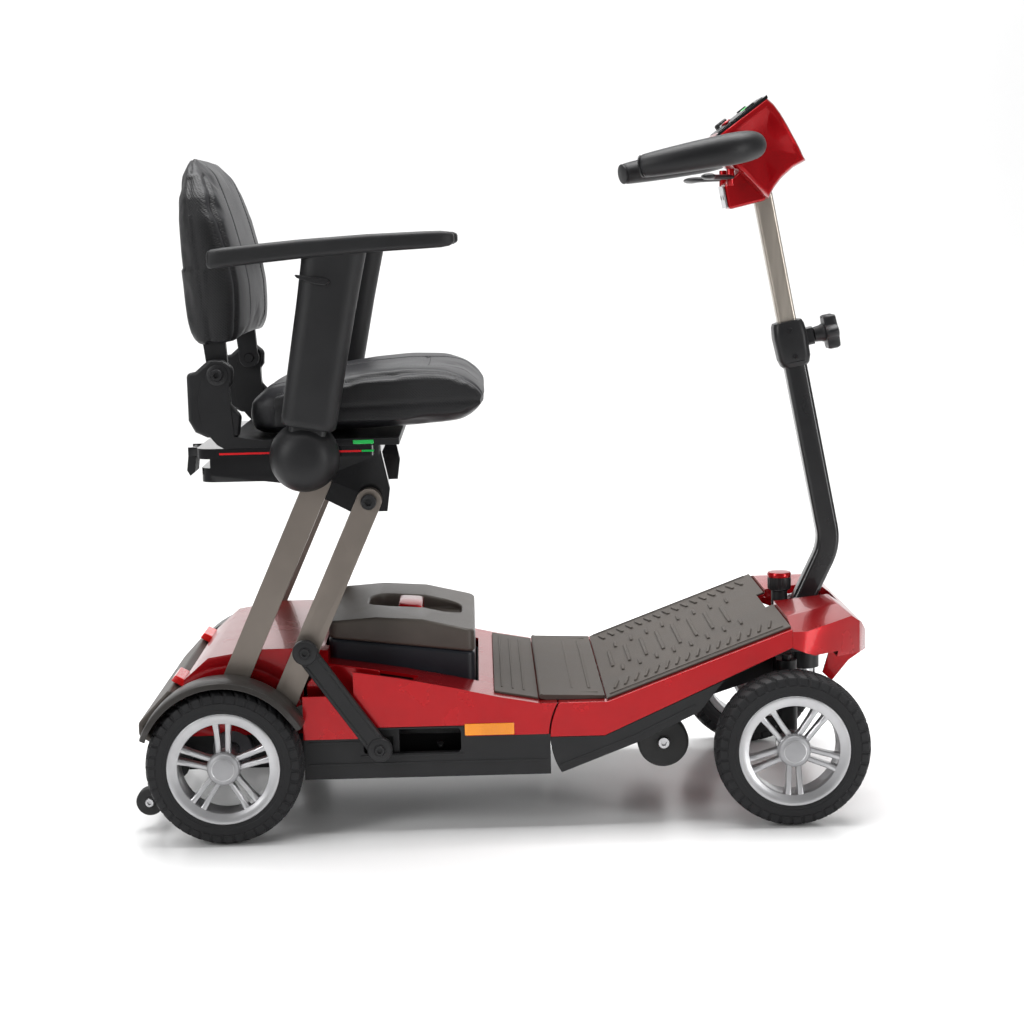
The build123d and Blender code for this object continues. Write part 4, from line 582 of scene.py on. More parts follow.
soften("steering_knuckle_left", "knuckle_left", black_coat, 0.8)
soften("steering_knuckle_right", "knuckle_right", black_coat, 0.8)
soften("tie_rod", "tie", bright_steel, 0.8)
soften("steering_stem", "steering", bright_steel, 0.6)
satin_black = finish("satin_black_plastic", (0.014, 0.014, 0.015), 0.36, grain=1600, bump=0.2)


def turned(name, profile, place, direction, body, material, stands_for=(), turns=48, lobes=0,
           depth=0.0, sharp=35):
    """A turned piece: (radius, height) points in millimetres spun about a direction, with optional lobes."""
    mesh = bmesh.new()
    loops = []
    for r, h, *wave in profile:
        loops.append([])
        for k in range(turns):
            angle = 2 * math.pi * k / turns
            swell = 1 + (depth * math.cos(lobes * angle) if lobes and wave else 0)
            loops[-1].append(mesh.verts.new((r * swell * math.cos(angle), r * swell * math.sin(angle), h)))
    skin(mesh, loops, caps=False)
    mesh.faces.new(loops[0][::-1])
    mesh.faces.new(loops[-1])
    turn = Vector(direction).to_track_quat("Z", "Y").to_matrix().to_4x4()
    mesh.transform(Matrix.Translation(place) @ turn @ Matrix.Scale(0.001, 4))
    return show(name, mesh, body, material, stands_for, sharp=sharp)


turned("lock_knob", [(9, 0), (11, 1), (11, 34), (14.5, 36), (15.6, 38, 1), (15.8, 50, 1), (15.4, 53)],
       at(736, 0, 230.3), (0, 0, 1), "lock", satin_black, ("tiller_lock_knob",), 96, 24,
       0.025)
turned("lock_knob_cap", [(16.2, 0), (16.4, 1), (16.4, 4.5), (15, 6.6), (9, 7.2), (0.1, 7.3)],
       at(736, 0, 283.5), (0, 0, 1), "lock", candy_red)
coil = bpy.data.curves.new("tiller_spring", "CURVE")
coil.dimensions = "3D"
coil.bevel_depth = 0.0009
thread = coil.splines.new("POLY")
TURNS = 9
thread.points.add(TURNS * 16)
for k, point in enumerate(thread.points):
    angle = 2 * math.pi * k / 16
    spot = at(752 + 4.5 * math.cos(angle), 24 + 4.5 * math.sin(angle), 231 + 24 * k / (TURNS * 16))
    point.co = (*spot, 1)
spring = bpy.data.objects.new("tiller_spring", coil)
coil.materials.append(bright_steel)
bpy.context.collection.objects.link(spring)
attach(spring, "steering")


# ---- Tiller ----
# A black lower tube bent at the foot, a collar with a clamp lug and lobed hand knob, and a champagne
# anodised mast that telescopes inside it.

def section_loft(rings):
    """A closed mesh through rings of points."""
    mesh = bmesh.new()
    made = [[mesh.verts.new(p) for p in ring] for ring in rings]
    skin(mesh, made)
    bmesh.ops.recalc_face_normals(mesh, faces=mesh.faces)
    data = bpy.data.meshes.new("loft")
    mesh.to_mesh(data)
    mesh.free()
    return data


def rounded(width, height, corner, steps=6):
    """Points round a rectangle with round corners, centred on (0, 0)."""
    points = []
    for cx, cz, start in ((1, 1, 0), (-1, 1, 90), (-1, -1, 180), (1, -1, 270)):
        for k in range(steps + 1):
            angle = math.radians(start + 90 * k / steps)
            points.append((cx * (width / 2 - corner) + corner * math.cos(angle),
                           cz * (height / 2 - corner) + corner * math.sin(angle)))
    return points


champagne = finish("champagne_anodised", (0.52, 0.47, 0.41), 0.33, metal=0.9, grain=240, bump=0.12,
                   stretch=(6, 6, 0.4))
gloss_black = finish("gloss_black_paint", (0.012, 0.012, 0.013), 0.28, grain=1200, bump=0.1, coat=0.4)
soften("tiller_tube", "lower_tiller", gloss_black, 2.5, 3)
soften("mast", "head", champagne, 1.0)
LEAN = math.radians(10.7)
mast_up = Vector((-math.sin(LEAN), 0, math.cos(LEAN)))
mast_front = Vector((math.cos(LEAN), 0, math.sin(LEAN)))
collar_foot = at(757.5, 0, 577)
knob_foot = collar_foot + mast_up * 0.030 + mast_front * 0.019
rings = []
for height, wide, thick in ((-6, 33, 29), (-3, 38, 34), (6, 43, 38), (36, 45, 40), (50, 42, 38),
                            (55, 38, 34), (56, 30, 25)):
    rings.append([collar_foot + mast_up * (height / 1000) + mast_front * (u / 1000) + Vector((0, v / 1000, 0))
                  for u, v in rounded(wide, thick, 9)])
show("collar_sleeve", section_loft(rings), "lower_tiller", satin_black, sharp=45)
turned("height_knob_body",
       [(5, 0), (5, 13), (10, 14), (11, 22), (13, 27), (21.5, 28, 1), (22.6, 31, 1), (22.6, 41, 1), (21,
       44.5, 1), (12, 46), (0.1, 46.3)], knob_foot, mast_front, "knob", satin_black,
       ("height_knob",), 96, 6, 0.13)
for h in (8, 44):
    bolt(f"collar_screw_{h}", collar_foot + mast_up * (h / 1000) + Vector((0, -0.018, 0)), (0, -1, 0), 3.4,
         "lower_tiller", "steel", black_coat)


# ---- Control head ----
# A red moulded head over a bent handlebar with a thick foam grip. Its sloped black face carries a small
# display, keys, a speed dial and the horn, and thumb levers hang below on both sides.

HEAD = [(717, 793), (724, 806), (734, 819), (750, 833), (767, 842), (763, 849), (760, 856), (755, 866),
        (750, 875), (742, 890), (733, 905), (724, 917), (714, 926), (682, 903), (649, 879), (647, 868),
        (646, 858), (662, 843), (681, 827), (700, 808)]
rings = []
for share in (-1, -0.985, -0.955, -0.9, -0.8, -0.6, -0.3, 0, 0.3, 0.6, 0.8, 0.9, 0.955, 0.985, 1):
    shrink = 0.84 + 0.16 * (1 - abs(share) ** 5) ** (1 / 3)
    rings.append([at(708 + (x - 708) * shrink, 58 * share, 862 + (z - 862) * shrink) for x, z in HEAD])
for shrink, y in ((0.74, 56.5), (0.6, 54), (0.42, 51.5), (0.2, 50.2)):
    for end, side in ((0, -1), (len(rings), 1)):
        rings.insert(end, [at(708 + (x - 708) * shrink, y * side, 862 + (z - 862) * shrink) for x, z in HEAD])
show("head_shell", section_loft(rings), "head", candy_red, ("head_cover",), sharp=35)
strip("head_neck", [(717, 792), (668, 781), (662, 813), (690, 838), (730, 838)], -24, 24, "head",
      "red_gloss", candy_red, width=4, segments=4)
for side in (-1, 1):
    turned(f"lever_pivot_{side}", [(4.5, 0), (5, 1), (5, 21), (4.5, 22)], at(668, side * 40, 812),
           (0, 0, 1), "head", candy_red)
foam = finish("grip_foam", (0.011, 0.011, 0.012), 0.42, grain=1900, bump=0.35)
piano_black = finish("dash_black", (0.007, 0.007, 0.008), 0.14, grain=400, bump=0.02, coat=0.2)
soften("dash_panel", "head", piano_black, 1.5, 3)
SLOPE_BACK = math.radians(9.5)


def on_bar(u, v):
    """A point on the handlebar's plane, forward and to the left of the middle of its cross bar."""
    return at(700 + u * math.cos(SLOPE_BACK), v, 862 + u * math.sin(SLOPE_BACK))


def swept(points, radii, sides=28):
    """A closed round tube along points, with a radius in millimetres at each."""
    rings = []
    flank = Vector((0, 0, 1))
    for k, point in enumerate(points):
        heading = (points[min(k + 1, len(points) - 1)] - points[max(k - 1, 0)]).normalized()
        flank = (flank - heading * flank.dot(heading)).normalized()
        other = heading.cross(flank)
        rings.append([point + (flank * math.cos(2 * math.pi * i / sides)
                               + other * math.sin(2 * math.pi * i / sides)) * (radii[k] / 1000)
                      for i in range(sides)])
    return section_loft(rings)


show("cross_bar", swept([on_bar(-15, -70), on_bar(-15, 70)], [11, 11]), "head", black_coat,
     ("handlebar",))
for hand, side in (("left", 1), ("right", -1)):
    route = [(-15, v) for v in (57, 59, 62, 70, 90, 110, 133)]
    route += [(-61 + 46 * math.cos(math.radians(a)), 133 + 46 * math.sin(math.radians(a)))
              for a in range(9, 91, 9)]
    route += [(-75, 179), (-90, 178.6), (-105, 177.6), (-120, 175.8), (-134, 173), (-147, 169), (-156, 165.5),
              (-158.5, 164.4), (-159.5, 164)]
    last = len(route) - 1
    radii = [14.6 + 5.2 * math.sin(math.pi * min(1, max(0, (k / last - 0.2) / 0.72)))
             for k in range(len(route))]
    radii[0], radii[1], radii[-1], radii[-2] = 11.5, 13.5, 11.5, 13.6
    show(f"foam_grip_{hand}", swept([on_bar(u, side * v) for u, v in route], radii), "head",
         foam, sharp=50)
    tip = on_bar(-159.5, side * 164)
    turned(f"grip_cap_{hand}", [(13.6, 0), (14.2, 0.8), (13.6, 2), (9, 2.8), (0.1, 3)], tip,
           (on_bar(-159.5, side * 164) - on_bar(-147, side * 169)), "head", satin_black)
DASH = math.atan2(49, 65)
dash_out = Vector((-math.sin(DASH), 0, math.cos(DASH)))
dash_run = Vector((math.cos(DASH), 0, math.sin(DASH)))


def on_dash(run, y, rise=0.0):
    """A point on the dash face, by its way up the slope, across, and off the face."""
    return at(649, y, 878) + dash_run * (run / 1000) + dash_out * (rise / 1000)


def plate(name, run0, run1, y0, y1, rise, thick, body, material, corner=4.0):
    """A thin rounded plate on the dash face."""
    mesh = bmesh.new()
    ring = []
    for cr, cy, start in ((run1 - corner, y1 - corner, 0), (run0 + corner, y1 - corner, 90),
                          (run0 + corner, y0 + corner, 180), (run1 - corner, y0 + corner, 270)):
        for k in range(6):
            angle = math.radians(start + 18 * k)
            ring.append(mesh.verts.new(on_dash(cr + corner * math.cos(angle),
                                               cy + corner * math.sin(angle), rise)))
    face = mesh.faces.new(ring)
    raised = bmesh.ops.extrude_face_region(mesh, geom=[face])
    bmesh.ops.translate(mesh, vec=dash_out * (thick / 1000),
                        verts=[v for v in raised["geom"] if isinstance(v, bmesh.types.BMVert)])
    return round_edges(show(name, mesh, body, material), 0.5, 2)


screen = finish("display_glass", (0.012, 0.02, 0.024), 0.08, grain=300, bump=0.0, coat=1.0)
plate("dash_bezel", 4, 77, -50, 50, 0, 1.2, "head", satin_black, 8)
plate("display", 46, 72, -26, 26, 1.2, 0.8, "head", screen, 4)
light_grey = finish("legend_grey", (0.5, 0.5, 0.5), 0.5)
lit_green = finish("charge_green", (0.05, 0.6, 0.12), 0.35)
for k in range(5):
    plate(f"charge_bar_{k}", 51, 55 + 1.6 * k, -19 + 7 * k, -14 + 7 * k, 2.0, 0.25, "head",
          lit_green, 0.8)
for k, y in enumerate((-40, 40)):
    plate(f"dash_key_{k}", 50, 64, y - 7, y + 7, 1.2, 2.0, "head", satin_black, 4)
KEY_ROW, DIAL_ACROSS, TICK_RING, TICK_HALF = 22, 24, 12, 0.6
for k in range(9):
    angle = math.radians(-120 + 30 * k)
    run, across = KEY_ROW + TICK_RING * math.cos(angle), DIAL_ACROSS + TICK_RING * math.sin(angle)
    plate(f"dial_tick_{k}", run - TICK_HALF, run + TICK_HALF, across - TICK_HALF, across + TICK_HALF,
          1.2, 0.3, "head", light_grey, 0.3)
turned("dial_knob", [(3, -8), (3, 1.6), (9.2, 1.8, 1), (9.0, 6, 1), (7.4, 7.6, 1), (0.1, 7.8)],
       on_dash(KEY_ROW, DIAL_ACROSS), dash_out, "dial", satin_black, ("speed_dial",),
       72, 12, 0.05)
turned("horn_key", [(3, -8), (3, 2.5), (6.8, 2.6), (7, 4), (5.8, 5), (0.1, 5.3)],
       on_dash(KEY_ROW, -DIAL_ACROSS), dash_out, "horn", candy_red, ("horn_button",))
turned("key_switch", [(6.5, 0), (6.5, 2.4), (5, 3), (2, 3), (1.6, 2.2), (0.1, 2.2)], on_dash(KEY_ROW, 0, 1.2),
       dash_out, "head", bright_steel)
for hand, side, node, body in (("reverse", 1, "reverse_lever", "reverse_control"),
                               ("forward", -1, "forward_lever", "forward_control")):
    mesh = bmesh.new()
    rings = []
    route = [(668, 40, 7, 3.4), (655, 50, 6.5, 3.4), (641, 60, 7, 3.6), (634, 76, 8.5, 4),
              (632, 98, 9.5, 4.2), (631, 116, 9, 3.8), (631, 121, 6, 2.4), (631, 122.5, 2, 1)]
    for index, (x, y, wide, thick) in enumerate(route):
        before, after = route[max(0, index - 1)], route[min(len(route) - 1, index + 1)]
        heading = Vector((after[0] - before[0], side * (after[1] - before[1]), 0)).normalized()
        flank = Vector((-heading.y, heading.x, 0))
        middle = at(x, side * y, 823)
        ring = []
        for k in range(12):
            angle = 2 * math.pi * k / 12
            ring.append(mesh.verts.new(middle + flank * (wide * math.cos(angle) / 1000)
                                       + Vector((0, 0, thick * math.sin(angle) / 1000))))
        rings.append(ring)
    skin(mesh, rings)
    show(f"{hand}_thumb_lever", mesh, body, satin_black, (node,), sharp=60)
strip("bracket_plate", [(664.5, 783), (666.5, 783), (661.2, 812), (659.2, 812)], -22, 22, "head", "steel",
      bright_steel, width=0.5)
for y in (-12, 12):
    bolt(f"bracket_hole_{y}", at(662.4, y, 797), (-1, 0, -0.18), 3.4, "head", "frame_black", black_coat,
         height=0.8)


# ---- Seat lift ----
# Four bronze painted rectangular posts form a parallelogram that lowers the seat. Black drag links tie
# the front pair to the actuator's carriage, on shouldered pins with dark bolts.

bronze = finish("bronze_paint", (0.23, 0.2, 0.175), 0.34, metal=0.75, grain=1800, bump=0.12, mottle=0.06)
link_black = finish("link_black", (0.016, 0.016, 0.017), 0.38, grain=1200, bump=0.3)
soften("front_seat_posts", "front_posts", bronze, 5.0, 4)
soften("rear_seat_posts", "rear_posts", bronze, 5.0, 4)
soften("drag_links", "links", link_black, 1.2, 2)
POST_FACE, LINK_FACE = 200, 221
LINK_TOP, LINK_FOOT = Vector((104.8, 0, 239.5)), Vector((195.0, 0, 112.0))
BOLT_BLACK = ("frame_black", link_black)
for side in (-1, 1):
    out = (0, side, 0)
    bolt(f"front_foot_bolt_{side}", at(71, side * POST_FACE, 165), out, 9, "root", *BOLT_BLACK)
    bolt(f"rear_foot_bolt_{side}", at(8.4, side * POST_FACE, 192.3), out, 9, "root", *BOLT_BLACK)
    bolt(f"top_bolt_{side}", at(189.9, side * 205, 427.1), out, 10, "seat_carrier", *BOLT_BLACK, height=5)
    bolt(f"top_hex_{side}", at(127.3, side * POST_FACE, 454.4), out, 8, "seat_carrier", *BOLT_BLACK,
         socket=False, height=4)
    for spot, label in ((LINK_TOP, "head"), (LINK_FOOT, "foot")):
        place = at(spot.x, side * LINK_FACE, spot.z)
        turned(f"link_boss_{label}_{side}", [(15, 0), (15.4, 0.8), (14.6, 2), (11, 2.6), (0.1, 2.6)], place,
               (0, side, 0), "links", link_black)
        bolt(f"link_bolt_{label}_{side}", place + Vector((0, side * 0.0026, 0)), (0, side, 0), 7, "links",
             "frame_black", satin_black, height=3.4)
    run = (LINK_FOOT - LINK_TOP).normalized()
    flank = Vector((-run.z, 0, run.x))
    for edge in (-1, 1):
        a = LINK_TOP + run * 17 + flank * (edge * 10.4)
        b = LINK_FOOT - run * 17 + flank * (edge * 10.4)
        rib = bead((a.x, side * LINK_FACE, a.z), (b.x, side * LINK_FACE, b.z), (0, side, 0), 4.2, 1.8)
        show(f"link_rib_{side}_{edge}", rib, "links", link_black, sharp=60)


# ---- Seat base and slide ----
# Glossy black plates with a printed fore-aft scale, red that turns green where the seat may be folded,
# and a green marker lens. Above them the seat pan slides, with cast brackets for the backrest.

soften("seat_base", "seat_carrier", piano_black, 3.0, 3)
soften("seat_pan", "seat", black_coat, 1.5, 2)
soften("slide_lever", "seat_release", satin_black, 1.5, 3)
scale_red = finish("scale_red", (0.7, 0.01, 0.015), 0.3)
scale_green = finish("scale_green", (0.01, 0.5, 0.08), 0.3)
marker_green = finish("marker_green", (0.02, 0.55, 0.1), 0.15, coat=0.8)
for side in (-1, 1):
    strip(f"scale_red_{side}", [(4, 489), (182, 489), (182, 491.5), (4, 491.5)], side * 189.6, side * 190.3,
          "seat_carrier", "black_plastic", scale_red, width=0.2)
    strip(f"scale_green_{side}", [(182.5, 489), (198, 489), (198, 491.5), (182.5, 491.5)], side * 189.6,
          side * 190.3, "seat_carrier", "black_plastic", scale_green, width=0.2)
    strip(f"fold_marker_{side}", [(172, 499.2), (198, 499.2), (198, 504.2), (172, 504.2)], side * 191.6,
          side * 193.2, "seat", "black_plastic", marker_green, width=1.5, segments=3)
    hinge_place = at(5.5, side * 192, 589.5)
    turned(f"hinge_washer_{side}", [(13, 0), (13, 1.6), (11.5, 2.4), (0.1, 2.4)], hinge_place, (0, side, 0),
           "seat", black_coat)
    bolt(f"hinge_bolt_{side}", hinge_place + Vector((0, side * 0.0024, 0)), (0, side, 0), 8, "seat",
         "frame_black", satin_black, height=5)
    strip(f"hinge_casting_{side}",
          [(-33, 592), (-33, 533), (-25, 518), (-10, 511), (30, 511), (34, 538), (22, 552), (15, 566),
           (25, 580), (26, 598), (14, 608), (-4, 609), (-15, 600), (-22, 594)],
          side * 178, side * 191, "seat", "frame_black", black_coat, width=5, segments=4)


# ---- Cushions ----
# Foam under black vinyl. The tops are smooth panels joined by stitched seams, and the sides and back
# are a woven-look vinyl. Each is blown up as sewn cloth, then its seams are pulled in.

def vinyl(name, colour, woven):
    """Soft upholstery vinyl, plain or pressed with a woven look."""
    material = finish(name, colour, 0.44, grain=1500, bump=0.25, mottle=0.1)
    nodes, links = material.node_tree.nodes, material.node_tree.links
    place = next(n for n in nodes if n.bl_idname == "ShaderNodeTexCoord")
    relief = next(n for n in nodes if n.bl_idname == "ShaderNodeBump")
    if woven:
        twills = []
        for direction in ((1, 1, 1), (1, -1, 1)):
            turn = nodes.new("ShaderNodeMapping")
            turn.inputs["Rotation"].default_value = (0.0, math.radians(45 * direction[1]), math.radians(20))
            wave = nodes.new("ShaderNodeTexWave")
            wave.inputs["Scale"].default_value = 130
            links.new(place.outputs["Object"], turn.inputs["Vector"])
            links.new(turn.outputs["Vector"], wave.inputs["Vector"])
            twills.append(wave)
        weave = nodes.new("ShaderNodeMath")
        weave.operation = "MAXIMUM"
        links.new(twills[0].outputs["Fac"], weave.inputs[0])
        links.new(twills[1].outputs["Fac"], weave.inputs[1])
        links.new(weave.outputs["Value"], relief.inputs["Height"])
        relief.inputs["Strength"].default_value = 0.6
        relief.inputs["Distance"].default_value = 0.0006
    else:
        pores = nodes.new("ShaderNodeTexVoronoi")
        pores.inputs["Scale"].default_value = 850
        pores.feature = "SMOOTH_F1"
        links.new(place.outputs["Object"], pores.inputs["Vector"])
        links.new(pores.outputs["Distance"], relief.inputs["Height"])
        relief.inputs["Strength"].default_value = 0.35
        relief.inputs["Distance"].default_value = 0.0005
    return material


smooth_vinyl = vinyl("smooth_vinyl", (0.013, 0.013, 0.015), False)
woven_vinyl = vinyl("woven_vinyl", (0.011, 0.011, 0.012), True)
seam_thread = finish("seam_thread", (0.03, 0.03, 0.032), 0.5)


def inflate(mesh, swell, voxel=0.006, cap=0.012):
    """Blows a closed mesh up as cloth, keeping every point within a cap of its start."""
    body = bpy.data.objects.new("inflating", mesh)
    bpy.context.collection.objects.link(body)
    grid = body.modifiers.new("grid", "REMESH")
    grid.mode = "VOXEL"
    grid.voxel_size = voxel
    view = bpy.context.evaluated_depsgraph_get()
    start = bpy.data.meshes.new_from_object(body.evaluated_get(view))
    body.modifiers.clear()
    body.data = start
    cloth = body.modifiers.new("sewn", "CLOTH")
    cloth.settings.quality = 5
    cloth.settings.use_pressure = True
    cloth.settings.uniform_pressure_force = swell
    cloth.settings.effector_weights.gravity = 0
    cloth.settings.tension_stiffness = 12
    cloth.settings.compression_stiffness = 12
    cloth.settings.bending_stiffness = 0.6
    cloth.collision_settings.use_collision = False
    cloth.point_cache.frame_start = 1
    cloth.point_cache.frame_end = 20
    for step in range(1, 21):
        bpy.context.scene.frame_set(step)
    view = bpy.context.evaluated_depsgraph_get()
    blown = bpy.data.meshes.new_from_object(body.evaluated_get(view))
    for old, new in zip(start.vertices, blown.vertices):
        move = new.co - old.co
        if move.length > cap:
            new.co = old.co + move * (cap / move.length)
    bpy.context.scene.frame_set(1)
    bpy.data.objects.remove(body)
    return blown


def divide(mesh):
    """One smoothing subdivision, applied."""
    body = bpy.data.objects.new("dividing", mesh)
    bpy.context.collection.objects.link(body)
    body.modifiers.new("divide", "SUBSURF").levels = 1
    view = bpy.context.evaluated_depsgraph_get()
    fine = bpy.data.meshes.new_from_object(body.evaluated_get(view))
    bpy.data.objects.remove(body)
    return fine


def pull_seams(mesh, seams):
    """Presses narrow furrows: each seam gives a point's distance from it, a width and a depth."""
    for vertex, normal in zip(mesh.vertices, [v.normal.copy() for v in mesh.vertices]):
        spot = ((vertex.co.x - AXLE_X) * 1000, vertex.co.y * 1000, vertex.co.z * 1000)
        sink = 0.0
        for distance, width, depth in seams:
            gap = distance(spot, normal)
            if gap is not None:
                sink += depth * math.exp(-(gap / width) ** 2)
        vertex.co -= normal * (min(sink, 4.0) / 1000)


THREAD = 0.00055


def stitches(name, cushion, route, direction, body, pitch=5.0):
    """Short thread stitches laid on a cushion along a route, dropped onto it along a direction."""
    view = bpy.context.evaluated_depsgraph_get()
    tree = BVHTree.FromObject(cushion, view)
    drop = Vector(direction).normalized()
    points = []
    for a, b in zip(route, route[1:]):
        a, b = at(*a), at(*b)
        steps = max(1, int((b - a).length * 1000 / pitch))
        points += [a.lerp(b, k / steps) for k in range(steps)]
    landed = []
    for point in points:
        hit, normal, _, _ = tree.ray_cast(point - drop * 0.08, drop)
        landed.append((hit, normal) if hit else None)
    meshes = []
    for first, second in zip(landed, landed[1:]):
        if not first or not second or (second[0] - first[0]).length > pitch * 0.0018:
            continue
        a = first[0].lerp(second[0], 0.12) + first[1] * 0.0003
        b = first[0].lerp(second[0], 0.88) + second[1] * 0.0003
        along = (b - a).normalized()
        flank = along.cross(first[1]).normalized()
        stitch = bmesh.new()
        rings = []
        for point, size in ((a, 0.5), (a.lerp(b, 0.2), 1), (a.lerp(b, 0.8), 1), (b, 0.5)):
            rings.append([stitch.verts.new(point + flank * (THREAD * size * math.cos(t))
                                           + first[1] * (THREAD * size * math.sin(t)))
                          for t in (0, math.pi / 3, 2 * math.pi / 3, math.pi, 4 * math.pi / 3,
                                    5 * math.pi / 3)])
        skin(stitch, rings, caps=False)
        meshes.append(stitch)
    if meshes:
        show(name, merge(meshes), body, seam_thread, sharp=70)


# The seat cushion: dished, thick at the front with a rolled edge, lower at the back between the castings.
SEAT_OUTLINE = [(36, 514), (150, 519), (250, 524), (312, 529), (334, 536), (346, 546), (347, 556),
                 (338, 568), (320, 578), (290, 586), (240, 587), (190, 583), (140, 576), (90, 567),
                 (50, 560), (34, 552), (31, 534)]
rings = []
for k in range(25):
    y = -193 + 386 * k / 24
    edge = abs(y) / 193
    shrink = 1 - 0.16 * edge ** 6
    ring = []
    for x, z in SEAT_OUTLINE:
        narrow = 66 if abs(y) > 170 else 31
        px = max(x, narrow)
        px = 190 + (px - 190) * (1 - 0.05 * edge ** 4)
        dish = -7 * math.cos(min(1, abs(y) / 150) * math.pi / 2) if 100 < x < 300 and z > 545 else 0
        pz = 549 + (z - 549) * shrink + dish
        ring.append(at(px, y, pz))
    rings.append(ring)
seat_mesh = divide(inflate(section_loft(rings), 4.0, 0.006, 0.007))


def seat_side_seam(spot, normal):
    edge = 176 - 0.00035 * max(0, spot[0] - 200) ** 2
    return abs(abs(spot[1]) - edge) if spot[2] > 548 and spot[0] > 60 else None


def seat_panel_seam(spot, normal):
    return abs(abs(spot[1]) - 96) if spot[2] > 550 and spot[0] < 330 else None


def seat_band_seam(spot, normal):
    return abs(spot[2] - (540 + 0.03 * spot[0])) if abs(spot[1]) > 182 or spot[0] > 325 else None


def seat_cross_seam(spot, normal):
    return abs(spot[0] - 262) if spot[2] > 560 and abs(spot[1]) < 96 else None


pull_seams(seat_mesh,
           [(seat_side_seam, 4, 3.2), (seat_panel_seam, 3.2, 2.2), (seat_band_seam, 3, 2.4),
           (seat_cross_seam, 3, 1.8)])
seat_piece = show("seat_pad", seat_mesh, "seat", smooth_vinyl, ("seat_cushion",), sharp=80)
seat_piece.data.materials.append(woven_vinyl)
for face in seat_piece.data.polygons:
    middle = face.center
    if abs(face.normal.y) > 0.6 and abs(middle.y) > 0.17:
        face.material_index = 1
for side in (-1, 1):
    for off in (-3.5, 3.5):
        stitches(f"seat_stitch_{side}_{off}", seat_piece,
                 [(60, side * (96 + off), 600), (318, side * (96 + off), 600)], (0, 0, -1), "seat")
stitches("seat_stitch_cross", seat_piece, [(266, -92, 600), (266, 92, 600)], (0, 0, -1), "seat")

# The backrest: a tall crowned pad with big round top corners, thicker in the lumbar region.
BACK_FRONT = [(627, 31), (640, 33), (670, 34), (700, 33), (740, 26), (780, 16), (815, 5), (845, -6),
               (868, -20)]
rings = []
for z, front in BACK_FRONT:
    rise = (z - 627) / (871 - 627)
    half = 190 if z < 780 else 190 - 80 * ((z - 780) / 91) ** 2.2
    back = -26 - 9 * rise - 5 * math.sin(math.pi * rise) + (6 if z > 860 else 0)
    ring = []
    for k in range(40):
        angle = 2 * math.pi * k / 40
        c, s = math.cos(angle), math.sin(angle)
        y = half * math.copysign(abs(c) ** 0.34, c)
        deep = math.copysign(abs(s) ** 0.42, s)
        crown = 1 - 0.06 * (y / half) ** 4
        x = (front + back) / 2 + deep * (front - back) / 2 * crown
        ring.append(at(x, y, z - 3 * (y / half) ** 2 * (1 if z > 800 else 0)))
    rings.append(ring)
back_mesh = divide(inflate(section_loft(rings), 4.0, 0.006, 0.006))


def back_side_seam(spot, normal):
    half = 168 if spot[2] < 770 else 168 - 76 * ((spot[2] - 770) / 100) ** 2.2
    return abs(abs(spot[1]) - half) if spot[0] > -8 else None


def back_panel_seam(spot, normal):
    return abs(abs(spot[1]) - 88) if normal.x > 0.3 and spot[2] < 850 else None


def back_cross_seam(spot, normal):
    return abs(spot[2] - 742) if normal.x > 0.3 and abs(spot[1]) < 160 else None


def back_rim_seam(spot, normal):
    return abs(spot[0] - (-10 - 0.1 * (spot[2] - 700))) if abs(spot[1]) > 150 or spot[2] > 840 else None


pull_seams(back_mesh,
           [(back_side_seam, 4, 3.2), (back_panel_seam, 3.2, 2.2), (back_cross_seam, 3.2, 2.2),
           (back_rim_seam, 3, 2.2)])
for vertex, normal in zip(back_mesh.vertices, [v.normal.copy() for v in back_mesh.vertices]):
    if vertex.co.z < 0.72 and normal.x < 0.35 and vertex.co.x < at(-4, 0, 0).x:
        vertex.co += normal * 0.0022
back_piece = show("back_pad", back_mesh, "backrest", smooth_vinyl, ("backrest_cushion",),
                  sharp=80)
back_piece.data.materials.append(woven_vinyl)
for face in back_piece.data.polygons:
    if face.normal.x < -0.4 or (abs(face.normal.y) > 0.6 and abs(face.center.y) > 0.14):
        face.material_index = 1
for side in (-1, 1):
    stitches(f"back_stitch_{side}", back_piece, [(60, side * 91.5, 640), (60, side * 91.5, 838)],
             (-1, 0, 0), "backrest")
stitches("back_stitch_cross", back_piece, [(60, -150, 745.5), (60, 150, 745.5)], (-1, 0, 0), "backrest")
soften("backrest_frame", "backrest", black_coat, 1.5)


# ---- Armrests ----
# Each hangs on a big matte ball at the seat pan. An oval sleeve slides on its post for height, and
# carries a long textured pad with a release lever under it.

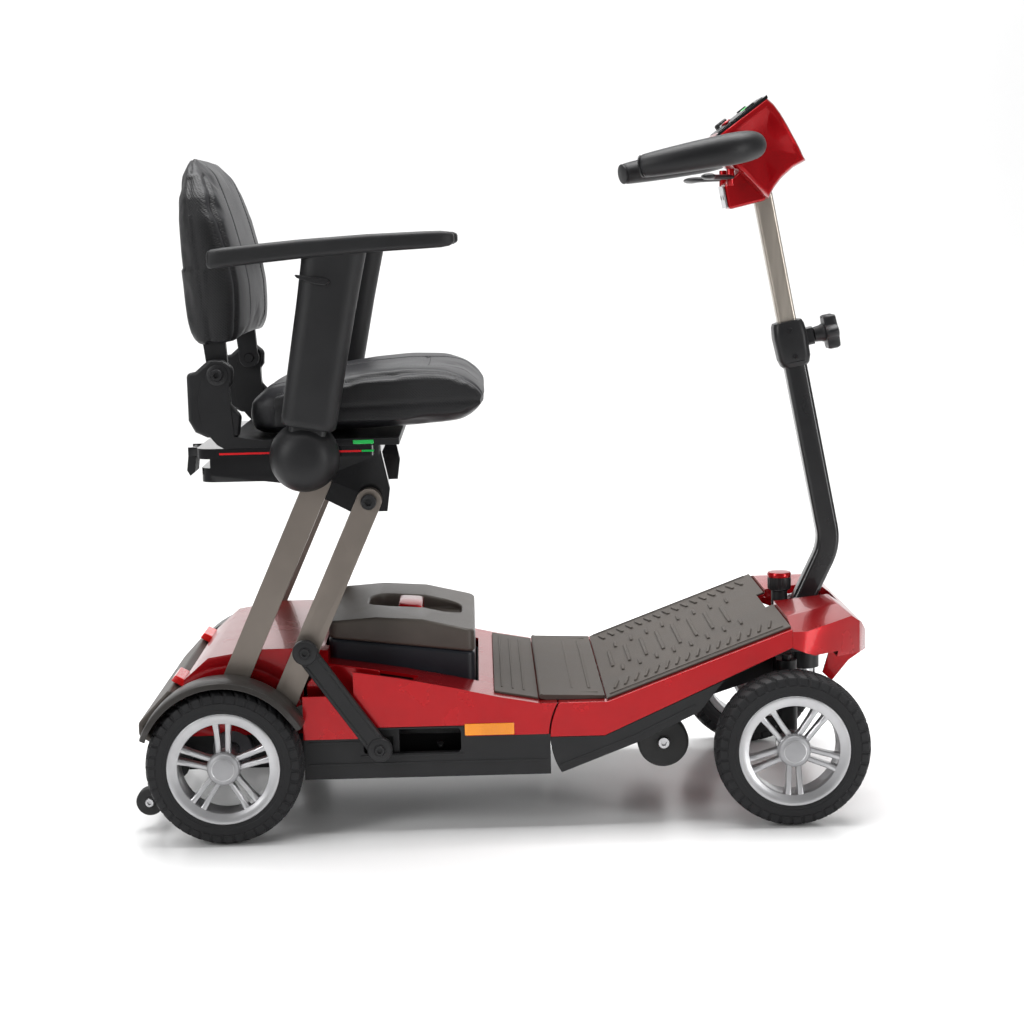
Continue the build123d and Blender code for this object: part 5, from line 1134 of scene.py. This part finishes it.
arm_plastic = finish("armrest_plastic", (0.013, 0.013, 0.014), 0.46, grain=1500, bump=0.6)
ball_plastic = finish("ball_plastic", (0.01, 0.01, 0.011), 0.45, grain=1500, bump=0.15)
ARM_LEAN = math.radians(10.4)
arm_up = Vector((math.sin(ARM_LEAN), 0, math.cos(ARM_LEAN)))
arm_front = Vector((math.cos(ARM_LEAN), 0, -math.sin(ARM_LEAN)))
for hand, side in (("left", 1), ("right", -1)):
    pivot = at(113, 0, 487)
    ball = [(12, 202), (40, 202), (43.4, 206), (44, 213), (43.2, 222), (40.5, 232), (35.5, 241.5),
             (27.5, 249), (17, 253), (6, 254), (0.1, 254)]
    turned(f"arm_ball_{hand}", [(r, w - 202) for r, w in ball], pivot + Vector((0, side * 0.202, 0)),
           (0, side, 0), f"{hand}_arm", ball_plastic, (f"armrest_post_{hand}",), 72,
           sharp=50)
    middle = pivot + Vector((0, side * 0.229, 0))
    rings = []
    for height, wide, thick in ((20, 46, 24), (150, 46, 24)):
        rings.append([middle + arm_up * (height / 1000) + arm_front * (u / 1000) + Vector((0, v / 1000, 0))
                      for u, v in rounded(wide, thick, 8)])
    show(f"arm_post_{hand}", section_loft(rings), f"{hand}_arm", satin_black)
    rings = []
    for height, wide, thick in ((38, 60, 34), (40, 66, 38), (48, 69, 40), (120, 71, 41), (190, 73, 42),
                                (236, 76, 43), (262, 78, 44)):
        ring = []
        for u, v in rounded(wide, thick, thick / 2.1):
            point = middle + arm_up * (height / 1000) + arm_front * (u / 1000) + Vector((0, v / 1000, 0))
            ceiling = at(0, 0, 737 + 0.03 * (u + 40)).z
            if point.z > ceiling:
                point -= arm_up * ((point.z - ceiling) / arm_up.z)
            ring.append(point)
        rings.append(ring)
    show(f"arm_sleeve_{hand}", section_loft(rings), f"{hand}_armrest", arm_plastic,
                  (f"armrest_pad_{hand}",), sharp=45)
    rings = []
    stations = [(6, 0.8, 0.62), (7.5, 0.92, 0.84), (12, 0.98, 0.96), (26, 1, 1), (60, 1, 1), (120, 1, 1),
                 (200, 1, 1), (270, 1, 0.98), (290, 0.97, 0.95), (300, 0.86, 0.82), (304.5, 0.7, 0.6),
                 (306, 0.55, 0.36)]
    for x, wide, tall in stations:
        share = (x - 6) / 300
        middle_z = 733 + 19 * share + 3.5 * math.sin(math.pi * share)
        height = (24.5 - 3.5 * share) * tall
        rings.append([at(x, side * 229 + u, middle_z + w) for u, w in rounded(52 * wide, height,
                     height * 0.3)])
    pad = show(f"arm_pad_{hand}", section_loft(rings), f"{hand}_armrest", arm_plastic,
               sharp=50)
    strip(f"arm_release_{hand}", [(112, 713), (150, 707), (155, 703), (149, 699), (136, 701), (114, 709)],
          side * 246, side * 254.8, f"{hand}_armrest", "black_plastic", satin_black, width=1.5, segments=3)
